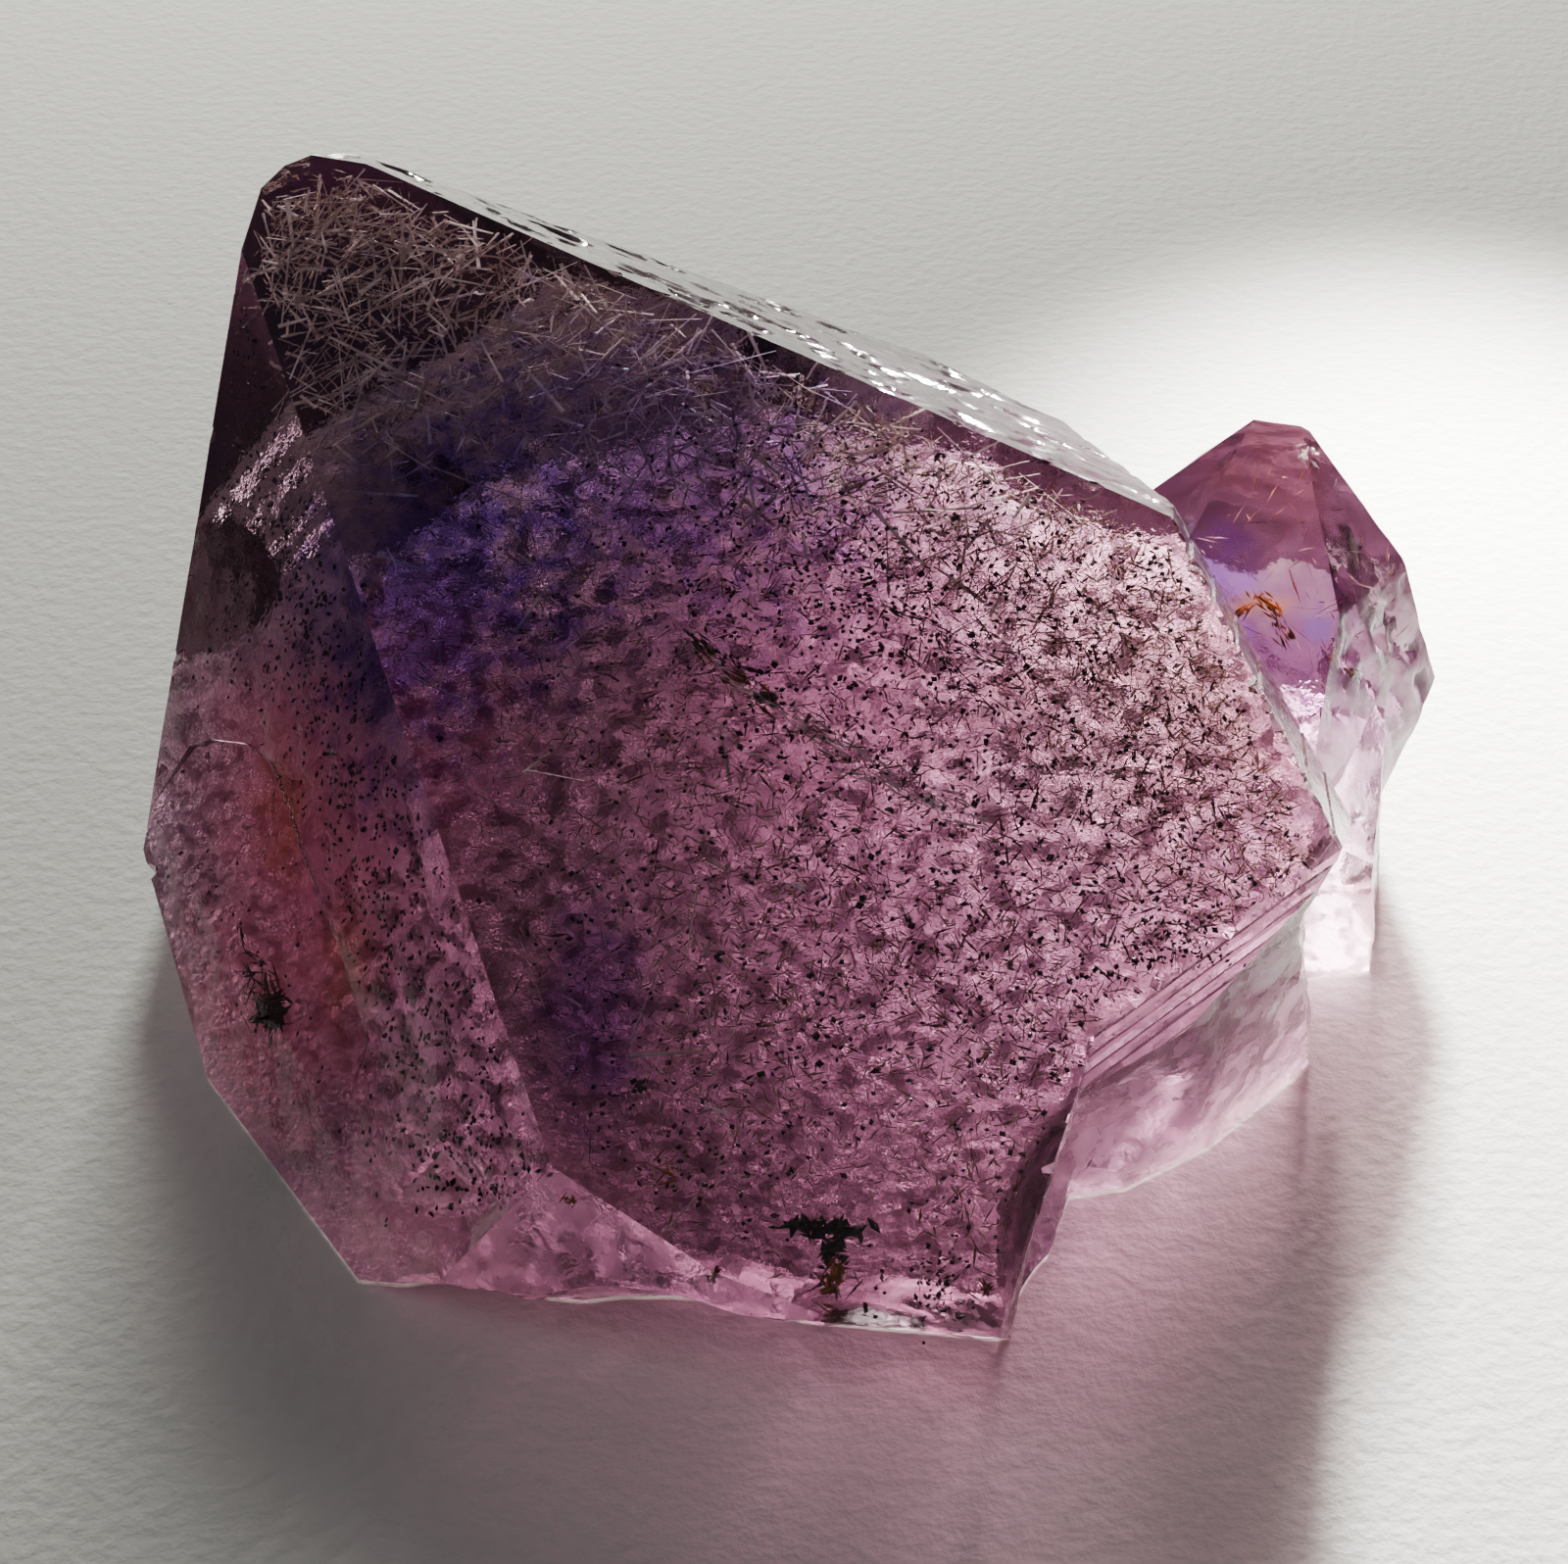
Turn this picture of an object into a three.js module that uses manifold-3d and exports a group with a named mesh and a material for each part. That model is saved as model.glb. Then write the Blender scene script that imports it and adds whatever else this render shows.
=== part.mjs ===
// An amethyst point: a low violet quartz crystal, broken from its seat, with a smaller
// crystal and a pale broken root that grew together with it. It is one piece, so it is
// one closed solid. Millimetres, +Z up, lying on its broken base, as it rests on a table.
// The origin is on the flat part of the base. +X is to the right of a viewer who looks
// along +Y at the large face.

import * as THREE from 'three';
import { mergeVertices } from 'three/addons/utils/BufferGeometryUtils.js';
import Module from 'manifold-3d';

const wasm = await Module();
wasm.setup();

// How the main crystal lies: its long axis leans back and to the left.
const LEAN = 39.96; // degrees from the vertical
const LEAN_HEADING = 144.32; // degrees from +X towards +Y
const SPIN = 156.03; // degrees, the turn of its faces about the long axis

// The angles of quartz. A face is given by its heading about the crystal's long axis.
const PYRAMID_TILT = 51.79; // degrees from the long axis to the normal of a pyramid face
const PRISM_TILT = 90;

// The main crystal's faces, with the distance of each one's plane from the origin.
const PYRAMID_FACES = {
  large: { heading: 0, distance: 13.6 },
  left: { heading: -60, distance: 17.2 },
  dimpled: { heading: 60, distance: 20.38 },
  farLeft: { heading: -120, distance: 23.43 },
  farRight: { heading: 120, distance: 28.3 },
  back: { heading: 180, distance: 28.6 },
};
const PRISM_FACES = {
  front: { heading: 0, distance: 20.08 },
  right: { heading: 60, distance: 20.29 },
  backRight: { heading: 120, distance: 24.5 },
  back: { heading: 180, distance: 20.5 },
  left: { heading: -120, distance: 17.6 },
};

const RIDGE_POINT = [0, 12, 18]; // on the edge between the large and the dimpled face
const RIGHT_CORNER = [17.8, -9.51, 12.17]; // of the large face

// Corners of the broken surfaces, where they meet the faces and the table.
const BASE_FRONT_LEFT = [-13.59, -16.45, 0];
const BASE_FRONT_RIGHT = [6.8, -19.1, 0];
const LIP_RIGHT = [5.9, -24.97, 5.6]; // lower right corner of the large face
const LIP_LEFT = [-5.97, -19.79, 6.76]; // lower end of the edge between large and left face
const LIP_MIDDLE = [-2.05, -22.63, 5.96];
const LIP_OUTER = [2.89, -24.88, 5.45];
const STEP_FOOT_LEFT = [-5.9, -21.2, 3.6];
const STEP_FOOT_RIGHT = [-1.9, -23.3, 5.0];
const BROKEN_EDGE_LOW = [6.48, -24.61, 5.79];
const BROKEN_EDGE_TOP = [9.87, -14.86, 9.65];
const BROKEN_EDGE_FOOT = [8.2, -16.5, 0];
const PRISM_LIMIT_RIGHT = [17.15, -10.36, 11.47]; // lower end of the front prism face
const PRISM_LIMIT_MIDDLE = [13.8, -13.45, 9.55];
const PRISM_LIMIT_LEFT = [9.41, -16.51, 8.1];
const ROOT_FOOT_RIGHT = [17.2, -6.7, 0];
const ROOT_FOOT_MIDDLE = [14.3, -9.9, 0];
const ROOT_FOOT_NEAR = [11.3, -12, 0];
const ROOT_FOOT_LEFT = [9.3, -12.4, 0];
const ROOT_SIDE_FRONT = [17.75, -7.5, 2];
const ROOT_SIDE_BACK = [18.2, -2.5, 2];
const ROOT_SIDE_TOP = [16.6, -9.8, 9.5]; // the foot of the overhang under the right corner
const OVERHANG_BACK = [19.7, -3, 9.7];

// The chipped far edge of the dimpled face, and the worn tip.
const FAR_CHIPS = [
  { at: [8.3, 22.2, 11.6], normal: [0.66, 0.6, 0.45] },
  { at: [12, 13.5, 13.4], normal: [0.88, 0.3, 0.37] },
  { at: [1.5, 26.4, 12.6], normal: [0.3, 0.8, 0.52] },
];
const TIP_CHIPS = [
  { at: [-19.5, 20.2, 20.8], normal: [-0.78, 0.42, 0.46] },
  { at: [-18.6, 21.4, 21.2], normal: [-0.45, 0.62, 0.64] },
  { at: [-17.2, 22.3, 21.6], normal: [-0.08, 0.6, 0.8] },
  { at: [-15.2, 22, 21.1], normal: [0.12, 0.3, 0.95] },
];

// The ledge on the left face: an arch-shaped step down to its lower left part, which
// runs out to nothing at the foot.
const LEDGE_CORNERS = [[-21.2, 4.2, 6.7], [-20.4, 3.5, 7.5], [-18.9, 2.1, 8.3], [-17.9, 0.6, 8.5],
  [-17.2, -1, 8.1], [-16.3, -3.5, 7.2], [-14.8, -7.2, 6.2], [-13.7, -10.4, 5.1],
  [-14.8, -12.5, 1.8], [-20, -13, -4], [-28, -4, -6], [-26, 3, 0]];
const LEDGE_FLOOR = [[-20.1, 3.7, 7.3], [-16.5, -1.8, 7.5], [-15, -11, 2.76]];

// Growth steps that run along the dimpled face, counted from the ridge.
const GROWTH_STEPS = {
  count: 5, first: 2.6, spacing: 2.7, height: 0.1, turn: 2.2, turnPhase: 0.6, turnStep: 1.9,
};

// Striations: fine grooves across the prism faces, which vary in depth.
const GROOVE_VARIATION = { share: 0.35, phase: 1, step: 2.4 };
const FINE_GROOVES = { count: 8, first: 0.3, pitch: 0.36, depth: 0.1 };
const COARSE_GROOVES = { count: 7, first: 1, pitch: 1.5, depth: 0.16 };
const COARSELY_STRIATED = [
  { wall: 'right', below: 'dimpled', from: [13.4, 3.2, 16.6] },
  { wall: 'backRight', below: 'farRight', from: [2, 27, 8] },
  { wall: 'back', below: 'back', from: [-12, 24, 6] },
];

// Shell-like hollows of the broken surfaces: a point on the surface, the way out of it,
// the radius of the hollow's ball and how deep it bites.
const HOLLOWS = [
  { at: [11.2, -13.8, 4.4], normal: [0.4, -0.88, -0.3], radius: 7, depth: 0.75 },
  { at: [13.6, -11.6, 1.4], normal: [0.5, -0.8, -0.3], radius: 9, depth: 0.5 },
  { at: [-3, -19.8, 2.4], normal: [-0.1, -0.68, -0.73], radius: 13, depth: 0.5 },
  { at: [3.6, -21.6, 3.2], normal: [-0.1, -0.68, -0.73], radius: 8, depth: 0.55 },
  { at: [-9.8, -17.4, 0.6], normal: [-0.1, -0.68, -0.73], radius: 8, depth: 0.3 },
  { at: [8, -18.6, 4], normal: [0.95, -0.28, -0.1], radius: 9, depth: 0.45 },
  { at: [-20.8, -1.5, 0.2], normal: [-0.7, -0.2, -0.7], radius: 5, depth: 0.3 },
  { at: [-15.5, 20.5, 0.5], normal: [-0.35, 0.5, -0.8], radius: 10, depth: 1.1 },
  { at: [-5, 27, 0.5], normal: [-0.2, 0.6, -0.8], radius: 14, depth: 1.2 },
  { at: [4, 26.5, 2.5], normal: [0.3, 0.9, -0.3], radius: 11, depth: 0.8 },
  { at: [11.5, 20.5, 3], normal: [0.6, 0.8, -0.1], radius: 9, depth: 0.8 },
];

const HOLLOW_DETAIL = 0.7; // rings of triangles on a hollow's ball for each mm of its radius

// Small chips along an edge: how many, their size, and the seed of their scatter.
const EDGE_CHIPS = [
  { from: [13.3, 3.4, 16.65], to: [17.8, -9.4, 12.2], out: [0.4, -0.1, 0.8], count: 18, size: 0.6, seed: 11 },
  { from: [17.6, -9.7, 12], to: [10, -15, 9.6], out: [0.15, -0.6, 0.8], count: 6, size: 0.4, seed: 23 },
  { from: BROKEN_EDGE_TOP, to: BROKEN_EDGE_LOW, out: [0.7, -0.4, 0.6], count: 7, size: 0.6, seed: 37 },
  { from: LIP_LEFT, to: LIP_OUTER, out: [-0.3, -0.7, 0.7], count: 5, size: 0.45, seed: 41 },
  { from: [-14, 20.6, 21], to: [12.8, 3.8, 16.6], out: [0.15, 0, 1], count: 9, size: 0.35, seed: 53 },
  { from: [-20, 17.3, 19.6], to: [-22.9, 1.7, 2.5], out: [-0.9, -0.2, 0.3], count: 8, size: 0.6, seed: 67 },
];
const CHIP_FORM = [1.5, 1, 0.8]; // the sides of a chip's block, in sizes
const CHIP_OFFSET = 0.45; // how far outside the edge its middle lies, in sizes
const CHIP_TURN = 3; // radians, the most that it is turned about each axis

// The small side crystal, which stands nearly upright behind the main one's right edge.
const SIDE_TOP_LEFT = [16.7, 10.2, 16.7];
const SIDE_TOP_RIGHT = [18.2, 10.2, 16.95];
const SIDE_LEAN = 5; // degrees from the vertical
const SIDE_LEAN_HEADING = 0;
const SIDE_SPIN = -98; // degrees, the heading of its front face
const SIDE_RADII = [8.4, 6.9, 6.9, 6.9, 6.9, 6.9]; // from its long axis to each prism face
const SIDE_SHOULDER_TILT = 70; // degrees, the steep growth faces below its pyramid
const SIDE_SHOULDER_DROP = 0.7; // how much these cut off the corner
const RIGHT_OF_TOP = 0.3; // a slope that faces +X by more than this starts at the top's right end
const SIDE_BREAKS = [
  { at: [24.4, 10, 6.3], normal: [0.985, 0, -0.174] },
  { at: [22.9, 9, 4.4], normal: [0.87, -0.08, -0.48] },
];

// The root: broken quartz under and beside the side crystal.
const ROOT_BLOCK = { low: [8, -3, 0], high: [22.4, 6, 8] };
const ROOT_BREAKS = [
  { at: [21.2, -0.2, 0], normal: [0.18, -0.9, 0.4] },
  { at: [16, -0.6, 0], normal: [-0.25, -0.9, 0.35] },
  { at: [21.5, 3.6, 3], normal: [0.98, -0.18, 0.06] },
  { at: [20.5, 1.8, 4.2], normal: [0.35, -0.6, 0.72] },
];

const BIG = 160; // edge of the box that stands for a half space
const HALF_ROOM = 60; // the crystals are cut out of blocks that reach this far
const COLOUR = 0x9a76b4;

const vec = (a) => new THREE.Vector3(...a);

// A closed geometry becomes a solid once only its merged positions are left.
function solidOf(geometry) {
  geometry.deleteAttribute('normal');
  geometry.deleteAttribute('uv');
  const merged = mergeVertices(geometry, 1e-4);
  return new wasm.Manifold(new wasm.Mesh({
    numProp: 3,
    vertProperties: Float32Array.from(merged.attributes.position.array),
    triVerts: Uint32Array.from(merged.index.array),
  }));
}

// The direction of a crystal face's normal: a heading about the long axis and a tilt from it.
function faceNormal(axes, heading, tilt) {
  const a = THREE.MathUtils.degToRad(heading);
  const t = THREE.MathUtils.degToRad(tilt);
  const local = new THREE.Vector3(Math.sin(t) * Math.cos(a), Math.sin(t) * Math.sin(a), Math.cos(t));
  return local.applyQuaternion(axes);
}

function crystalAxes(lean, leanHeading, spin) {
  const turnZ = (degrees) => new THREE.Quaternion().setFromAxisAngle(
    new THREE.Vector3(0, 0, 1), THREE.MathUtils.degToRad(degrees));
  const tip = new THREE.Quaternion().setFromAxisAngle(
    new THREE.Vector3(0, 1, 0), THREE.MathUtils.degToRad(lean));
  return turnZ(leanHeading).multiply(tip).multiply(turnZ(spin));
}

const plane = (normal, distance) => ({ normal: normal.clone().normalize(), distance });
const planeAt = ({ at, normal }) => {
  const n = vec(normal).normalize();
  return plane(n, n.dot(vec(at)));
};

// The plane through three corners, facing away from the middle of the piece.
const INSIDE = new THREE.Vector3(0, 0, 6);
function planeThrough(a, b, c) {
  const normal = vec(b).sub(vec(a)).cross(vec(c).sub(vec(a))).normalize();
  if (normal.dot(INSIDE.clone().sub(vec(a))) > 0) normal.negate();
  return plane(normal, normal.dot(vec(a)));
}

// Everything outside a plane, as one large box that stands on it.
function outside({ normal, distance }) {
  const box = new THREE.BoxGeometry(BIG, BIG, BIG);
  box.translate(0, 0, BIG / 2);
  box.applyQuaternion(new THREE.Quaternion().setFromUnitVectors(new THREE.Vector3(0, 0, 1), normal));
  box.translate(...normal.clone().multiplyScalar(distance).toArray());
  return solidOf(box);
}

const cutBy = (body, planes) => planes.reduce((rest, face) => rest.subtract(outside(face)), body);

function blockBetween(low, high) {
  const box = new THREE.BoxGeometry(high[0] - low[0], high[1] - low[1], high[2] - low[2]);
  box.translate((low[0] + high[0]) / 2, (low[1] + high[1]) / 2, (low[2] + high[2]) / 2);
  return solidOf(box);
}

// A square bar sunk corner first into a face: it leaves a V-shaped groove.
function grooveBar(middle, along, depth) {
  const across = depth * Math.SQRT2;
  const bar = new THREE.BoxGeometry(across, across, BIG / 2);
  bar.rotateZ(Math.PI / 4);
  const turn = new THREE.Quaternion().setFromUnitVectors(new THREE.Vector3(0, 0, 1), along);
  bar.applyQuaternion(turn);
  bar.translate(...middle.toArray());
  return solidOf(bar);
}

// Parallel grooves on a face, from its upper edge down. The bar is turned so that a corner
// of its square points straight into the face.
function striate(body, face, along, start, { count, first, pitch, depth }) {
  const down = new THREE.Vector3().crossVectors(along, face.normal).normalize();
  if (down.z > 0) down.negate();
  let rest = body;
  for (let k = 0; k < count; k += 1) {
    const uneven = 1 + GROOVE_VARIATION.share * Math.sin(
      GROOVE_VARIATION.phase + GROOVE_VARIATION.step * k);
    const middle = start.clone().addScaledVector(down, first + k * pitch);
    middle.addScaledVector(face.normal, face.distance - face.normal.dot(middle));
    rest = rest.subtract(grooveBar(middle, along, depth * uneven));
  }
  return rest;
}

// Layers that end one after another across a face, so that it falls away in low steps.
function stepDown(body, face, ridge, start, steps) {
  const { count, first, spacing, height, turn, turnPhase, turnStep } = steps;
  const away = new THREE.Vector3().crossVectors(ridge, face.normal).normalize();
  if (away.dot(vec([0, 1, 0])) < 0) away.negate();
  let rest = body;
  for (let k = 0; k < count; k += 1) {
    const swing = THREE.MathUtils.degToRad(turn * Math.sin(turnPhase + turnStep * k));
    const riser = away.clone().applyAxisAngle(face.normal, swing);
    const layer = new THREE.BoxGeometry(BIG, BIG, BIG);
    layer.translate(BIG / 2, 0, BIG / 2);
    const basis = new THREE.Matrix4().makeBasis(
      riser, new THREE.Vector3().crossVectors(face.normal, riser), face.normal);
    layer.applyMatrix4(basis);
    const corner = start.clone().addScaledVector(riser, first + k * spacing);
    corner.addScaledVector(face.normal, face.distance - face.normal.dot(corner) - (k + 1) * height);
    layer.translate(...corner.toArray());
    rest = rest.subtract(solidOf(layer));
  }
  return rest;
}

// A recess with the given corners, sunk straight into a face down to a sloping floor.
function recess(body, face, corners, floor) {
  const turn = new THREE.Quaternion().setFromUnitVectors(face.normal, new THREE.Vector3(0, 0, 1));
  const flat = corners.map((corner) => vec(corner).applyQuaternion(turn));
  const outline = new THREE.Shape(flat.map((point) => new THREE.Vector2(point.x, point.y)));
  const sunk = new THREE.ExtrudeGeometry(outline, { depth: BIG, bevelEnabled: false });
  sunk.applyQuaternion(turn.invert());
  return body.subtract(solidOf(sunk).intersect(outside(floor)));
}

// A ball taken out of a broken surface leaves a shell-like hollow.
function hollow(body, { at, normal, radius, depth }) {
  const ball = new THREE.IcosahedronGeometry(radius, Math.round(radius * HOLLOW_DETAIL));
  const centre = vec(at).addScaledVector(vec(normal).normalize(), radius - depth);
  ball.translate(...centre.toArray());
  return body.subtract(solidOf(ball));
}

// A small repeatable scatter of numbers between 0 and 1.
function scatter(seed) {
  let state = seed;
  return () => {
    state = (state * 16807) % 2147483647;
    return state / 2147483647;
  };
}

// Little turned blocks bite into an edge at uneven places, from a little way outside it.
function chipEdge(body, { from, to, out, count, size, seed }) {
  const next = scatter(seed * 7919);
  next();
  let rest = body;
  for (let k = 0; k < count; k += 1) {
    const along = (k + 0.15 + 0.7 * next()) / count;
    const edge = size * (0.5 + next());
    const bite = new THREE.BoxGeometry(...CHIP_FORM.map((side) => side * edge));
    bite.applyQuaternion(new THREE.Quaternion().setFromEuler(
      new THREE.Euler(CHIP_TURN * next(), CHIP_TURN * next(), CHIP_TURN * next())));
    const place = vec(from).lerp(vec(to), along).addScaledVector(vec(out), CHIP_OFFSET * edge);
    bite.translate(...place.toArray());
    rest = rest.subtract(solidOf(bite));
  }
  return rest;
}

// The main crystal: its faces, cut off flat at the table.
const mainAxes = crystalAxes(LEAN, LEAN_HEADING, SPIN);
const mainFaces = (set, tilt) => Object.fromEntries(Object.entries(set).map(
  ([name, { heading, distance }]) => [name, plane(faceNormal(mainAxes, heading, tilt), distance)]));
const pyramid = mainFaces(PYRAMID_FACES, PYRAMID_TILT);
const prism = mainFaces(PRISM_FACES, PRISM_TILT);

const edgeBetween = (a, b) => new THREE.Vector3().crossVectors(a.normal, b.normal).normalize();

const isFront = (face) => face === prism.front; // cut later, and only on the right part

function mainCrystal() {
  const walls = Object.values(prism).filter((face) => !isFront(face));
  let body = blockBetween([-HALF_ROOM, -HALF_ROOM, 0], [HALF_ROOM, HALF_ROOM, HALF_ROOM]);
  body = cutBy(body, [...Object.values(pyramid), ...walls]);
  body = cutBy(body, [...FAR_CHIPS, ...TIP_CHIPS].map(planeAt));
  const ridge = edgeBetween(pyramid.large, pyramid.dimpled);
  body = stepDown(body, pyramid.dimpled, ridge, vec(RIDGE_POINT), GROWTH_STEPS);
  for (const { wall, below, from } of COARSELY_STRIATED) {
    const edge = edgeBetween(pyramid[below], prism[wall]);
    body = striate(body, prism[wall], edge, vec(from), COARSE_GROOVES);
  }
  return recess(body, pyramid.left, LEDGE_CORNERS, planeThrough(...LEDGE_FLOOR));
}

// The front ends in an undercut break with a bright step above it.
const frontBreaks = [
  planeThrough(BASE_FRONT_LEFT, BASE_FRONT_RIGHT, LIP_RIGHT),
  planeThrough(LIP_LEFT, LIP_MIDDLE, STEP_FOOT_LEFT),
  planeThrough(LIP_MIDDLE, LIP_OUTER, STEP_FOOT_RIGHT),
];

// The part under the large face's lower end stops at a broken edge on its right.
const brokenEdge = planeThrough(BROKEN_EDGE_LOW, BROKEN_EDGE_TOP, BROKEN_EDGE_FOOT);

// The right part has the front prism face, and ends where the root tore away.
const rootBreaks = [
  planeThrough(PRISM_LIMIT_RIGHT, PRISM_LIMIT_MIDDLE, ROOT_FOOT_RIGHT),
  planeThrough(PRISM_LIMIT_MIDDLE, ROOT_FOOT_RIGHT, ROOT_FOOT_MIDDLE),
  planeThrough(PRISM_LIMIT_LEFT, ROOT_FOOT_MIDDLE, ROOT_FOOT_NEAR),
  planeThrough(PRISM_LIMIT_LEFT, ROOT_FOOT_NEAR, ROOT_FOOT_LEFT),
];
const rootSide = planeThrough(ROOT_SIDE_FRONT, ROOT_SIDE_BACK, ROOT_SIDE_TOP);
const overhang = planeThrough(PRISM_LIMIT_RIGHT, ROOT_SIDE_TOP, OVERHANG_BACK);

// The side crystal: two rows of sloping faces over a six-sided prism.
function sideCrystal() {
  const axes = crystalAxes(SIDE_LEAN, SIDE_LEAN_HEADING, SIDE_SPIN - SIDE_LEAN_HEADING);
  const up = faceNormal(axes, 0, 0);
  const middle = vec(SIDE_TOP_LEFT).lerp(vec(SIDE_TOP_RIGHT), 0.5);
  const faces = [];
  for (let k = 0; k < 6; k += 1) {
    const heading = 60 * k;
    const slope = faceNormal(axes, heading, PYRAMID_TILT);
    const top = slope.x > RIGHT_OF_TOP ? vec(SIDE_TOP_RIGHT) : vec(SIDE_TOP_LEFT);
    faces.push(plane(slope, slope.dot(top)));
    const wall = faceNormal(axes, heading, PRISM_TILT);
    faces.push(plane(wall, wall.dot(middle) + SIDE_RADII[k]));
    const shoulder = faceNormal(axes, heading, SIDE_SHOULDER_TILT);
    const drop = SIDE_RADII[k] / Math.tan(THREE.MathUtils.degToRad(90 - PYRAMID_TILT));
    const corner = middle.clone().addScaledVector(wall, SIDE_RADII[k]).addScaledVector(up, -drop);
    faces.push(plane(shoulder, shoulder.dot(corner) - SIDE_SHOULDER_DROP));
  }
  const body = blockBetween([0, -HALF_ROOM, 0], [HALF_ROOM, HALF_ROOM, HALF_ROOM]);
  return cutBy(body, [...faces, ...SIDE_BREAKS.map(planeAt)]);
}

function root() {
  return cutBy(blockBetween(ROOT_BLOCK.low, ROOT_BLOCK.high), ROOT_BREAKS.map(planeAt));
}

// The whole piece, grown together, then worn and chipped.
const crystal = cutBy(mainCrystal(), frontBreaks);
const rightPart = striate(cutBy(crystal, [prism.front]), prism.front,
  edgeBetween(pyramid.large, prism.front), vec(RIGHT_CORNER), FINE_GROOVES);
const tornPart = cutBy(rightPart, rootBreaks).subtract(outside(rootSide).intersect(outside(overhang)));
let grown = cutBy(crystal, [brokenEdge]).add(tornPart);
grown = grown.add(sideCrystal()).add(root());
grown = HOLLOWS.reduce(hollow, grown);
grown = EDGE_CHIPS.reduce(chipEdge, grown);

function meshOf(solid, name) {
  const { vertProperties, triVerts } = solid.getMesh();
  const geometry = new THREE.BufferGeometry();
  geometry.setAttribute('position', new THREE.BufferAttribute(vertProperties, 3));
  geometry.setIndex(new THREE.BufferAttribute(triVerts, 1));
  geometry.computeVertexNormals();
  const material = new THREE.MeshStandardMaterial({
    color: COLOUR, roughness: 0.15, metalness: 0, flatShading: true,
  });
  const mesh = new THREE.Mesh(geometry, material);
  mesh.name = name;
  return mesh;
}

const part = new THREE.Group();
part.add(meshOf(grown, 'amethyst_point'));

export default part;
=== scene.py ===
# %% [markdown]
# # An amethyst point, dressed
#
# The solid is a low violet quartz crystal with a smaller crystal and a pale broken root.
# This script lays a finer skin over it, fills it with the needles, specks and veils that
# quartz catches while it grows, and gives each of them a finish. Lengths are in metres in
# Blender. The arrays below are in millimetres, because the stone is small, and they are
# scaled once, when a mesh is made.

# %% Load the solid
import math

import bpy
import numpy as np
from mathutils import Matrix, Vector
from mathutils.geometry import delaunay_2d_cdt


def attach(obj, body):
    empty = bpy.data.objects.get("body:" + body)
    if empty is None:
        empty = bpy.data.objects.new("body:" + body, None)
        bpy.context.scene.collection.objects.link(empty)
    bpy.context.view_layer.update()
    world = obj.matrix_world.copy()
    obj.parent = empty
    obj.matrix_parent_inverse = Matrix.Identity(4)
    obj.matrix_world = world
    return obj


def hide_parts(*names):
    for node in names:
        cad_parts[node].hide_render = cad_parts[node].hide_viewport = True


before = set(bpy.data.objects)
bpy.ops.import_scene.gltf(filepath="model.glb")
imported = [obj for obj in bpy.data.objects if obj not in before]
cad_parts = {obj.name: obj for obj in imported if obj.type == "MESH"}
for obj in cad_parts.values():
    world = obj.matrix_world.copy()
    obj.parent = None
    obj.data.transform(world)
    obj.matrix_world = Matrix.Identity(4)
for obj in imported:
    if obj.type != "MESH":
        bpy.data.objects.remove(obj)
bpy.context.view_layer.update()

MM = 0.001
NODE = "amethyst_point"

# %% [markdown]
# ## How the crystal lies
#
# Quartz always grows the same angles, so one direction and one turn give all its faces.
# The large face slopes towards the viewer and the left face falls away beside it. Needles
# and specks are placed under such a face, in its own two directions: u runs level along
# the face and v runs up its slope. Both are measured from the origin of the part.

# %% Faces of the main crystal
LARGE = {"normal": np.array([-0.0618, -0.3486, 0.9352]), "distance": 13.6}
LEFT = {"normal": np.array([-0.7271, -0.4399, 0.5271]), "distance": 17.2}
DIMPLED = {"normal": np.array([0.3425, 0.3230, 0.8822]), "distance": 20.4}
FRONT_WALL = {"normal": np.array([0.3319, -0.7386, 0.5868]), "distance": 20.1}
SIDE_SLOPE = {"normal": np.array([-0.055, -0.778, 0.626]), "distance": 1.60}
SIDE_WALL = {"normal": np.array([0.767, -0.579, 0.276]), "distance": 14.91}
LONG_AXIS = np.array([-0.5217, 0.3746, 0.7668])


def face_directions(normal):
    """u is level, at right angles to the normal; v is at right angles to both and points up."""
    u = np.cross([0.0, 0.0, 1.0], normal)
    u /= np.linalg.norm(u)
    return u, np.cross(normal, u)


def on_face(face, u, v, depth=0.0):
    """Points that lie u along and v up a face, and a depth below it."""
    along, up = face_directions(face["normal"])
    u, v, depth = np.broadcast_arrays(np.asarray(u, float), v, depth)
    height = face["distance"] - depth
    return u[..., None] * along + v[..., None] * up + height[..., None] * face["normal"]


for name, face in (("large", LARGE), ("left", LEFT)):
    print(name, "face slopes", round(math.degrees(math.acos(face["normal"][2])), 1), "degrees")

# %% [markdown]
# ## A small kit for meshes
#
# Every new piece comes from whole arrays. One helper puts them into a mesh, and one makes
# a soft, repeatable unevenness: a sum of waves that run in random directions. It costs
# little, has no seams, and can be stretched along a direction to look like growth lines.

# %% Mesh and waves
def linked(name, data):
    """An object for a mesh, a lamp or a camera, put into the scene."""
    made = bpy.data.objects.new(name, data)
    bpy.context.scene.collection.objects.link(made)
    return made


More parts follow.
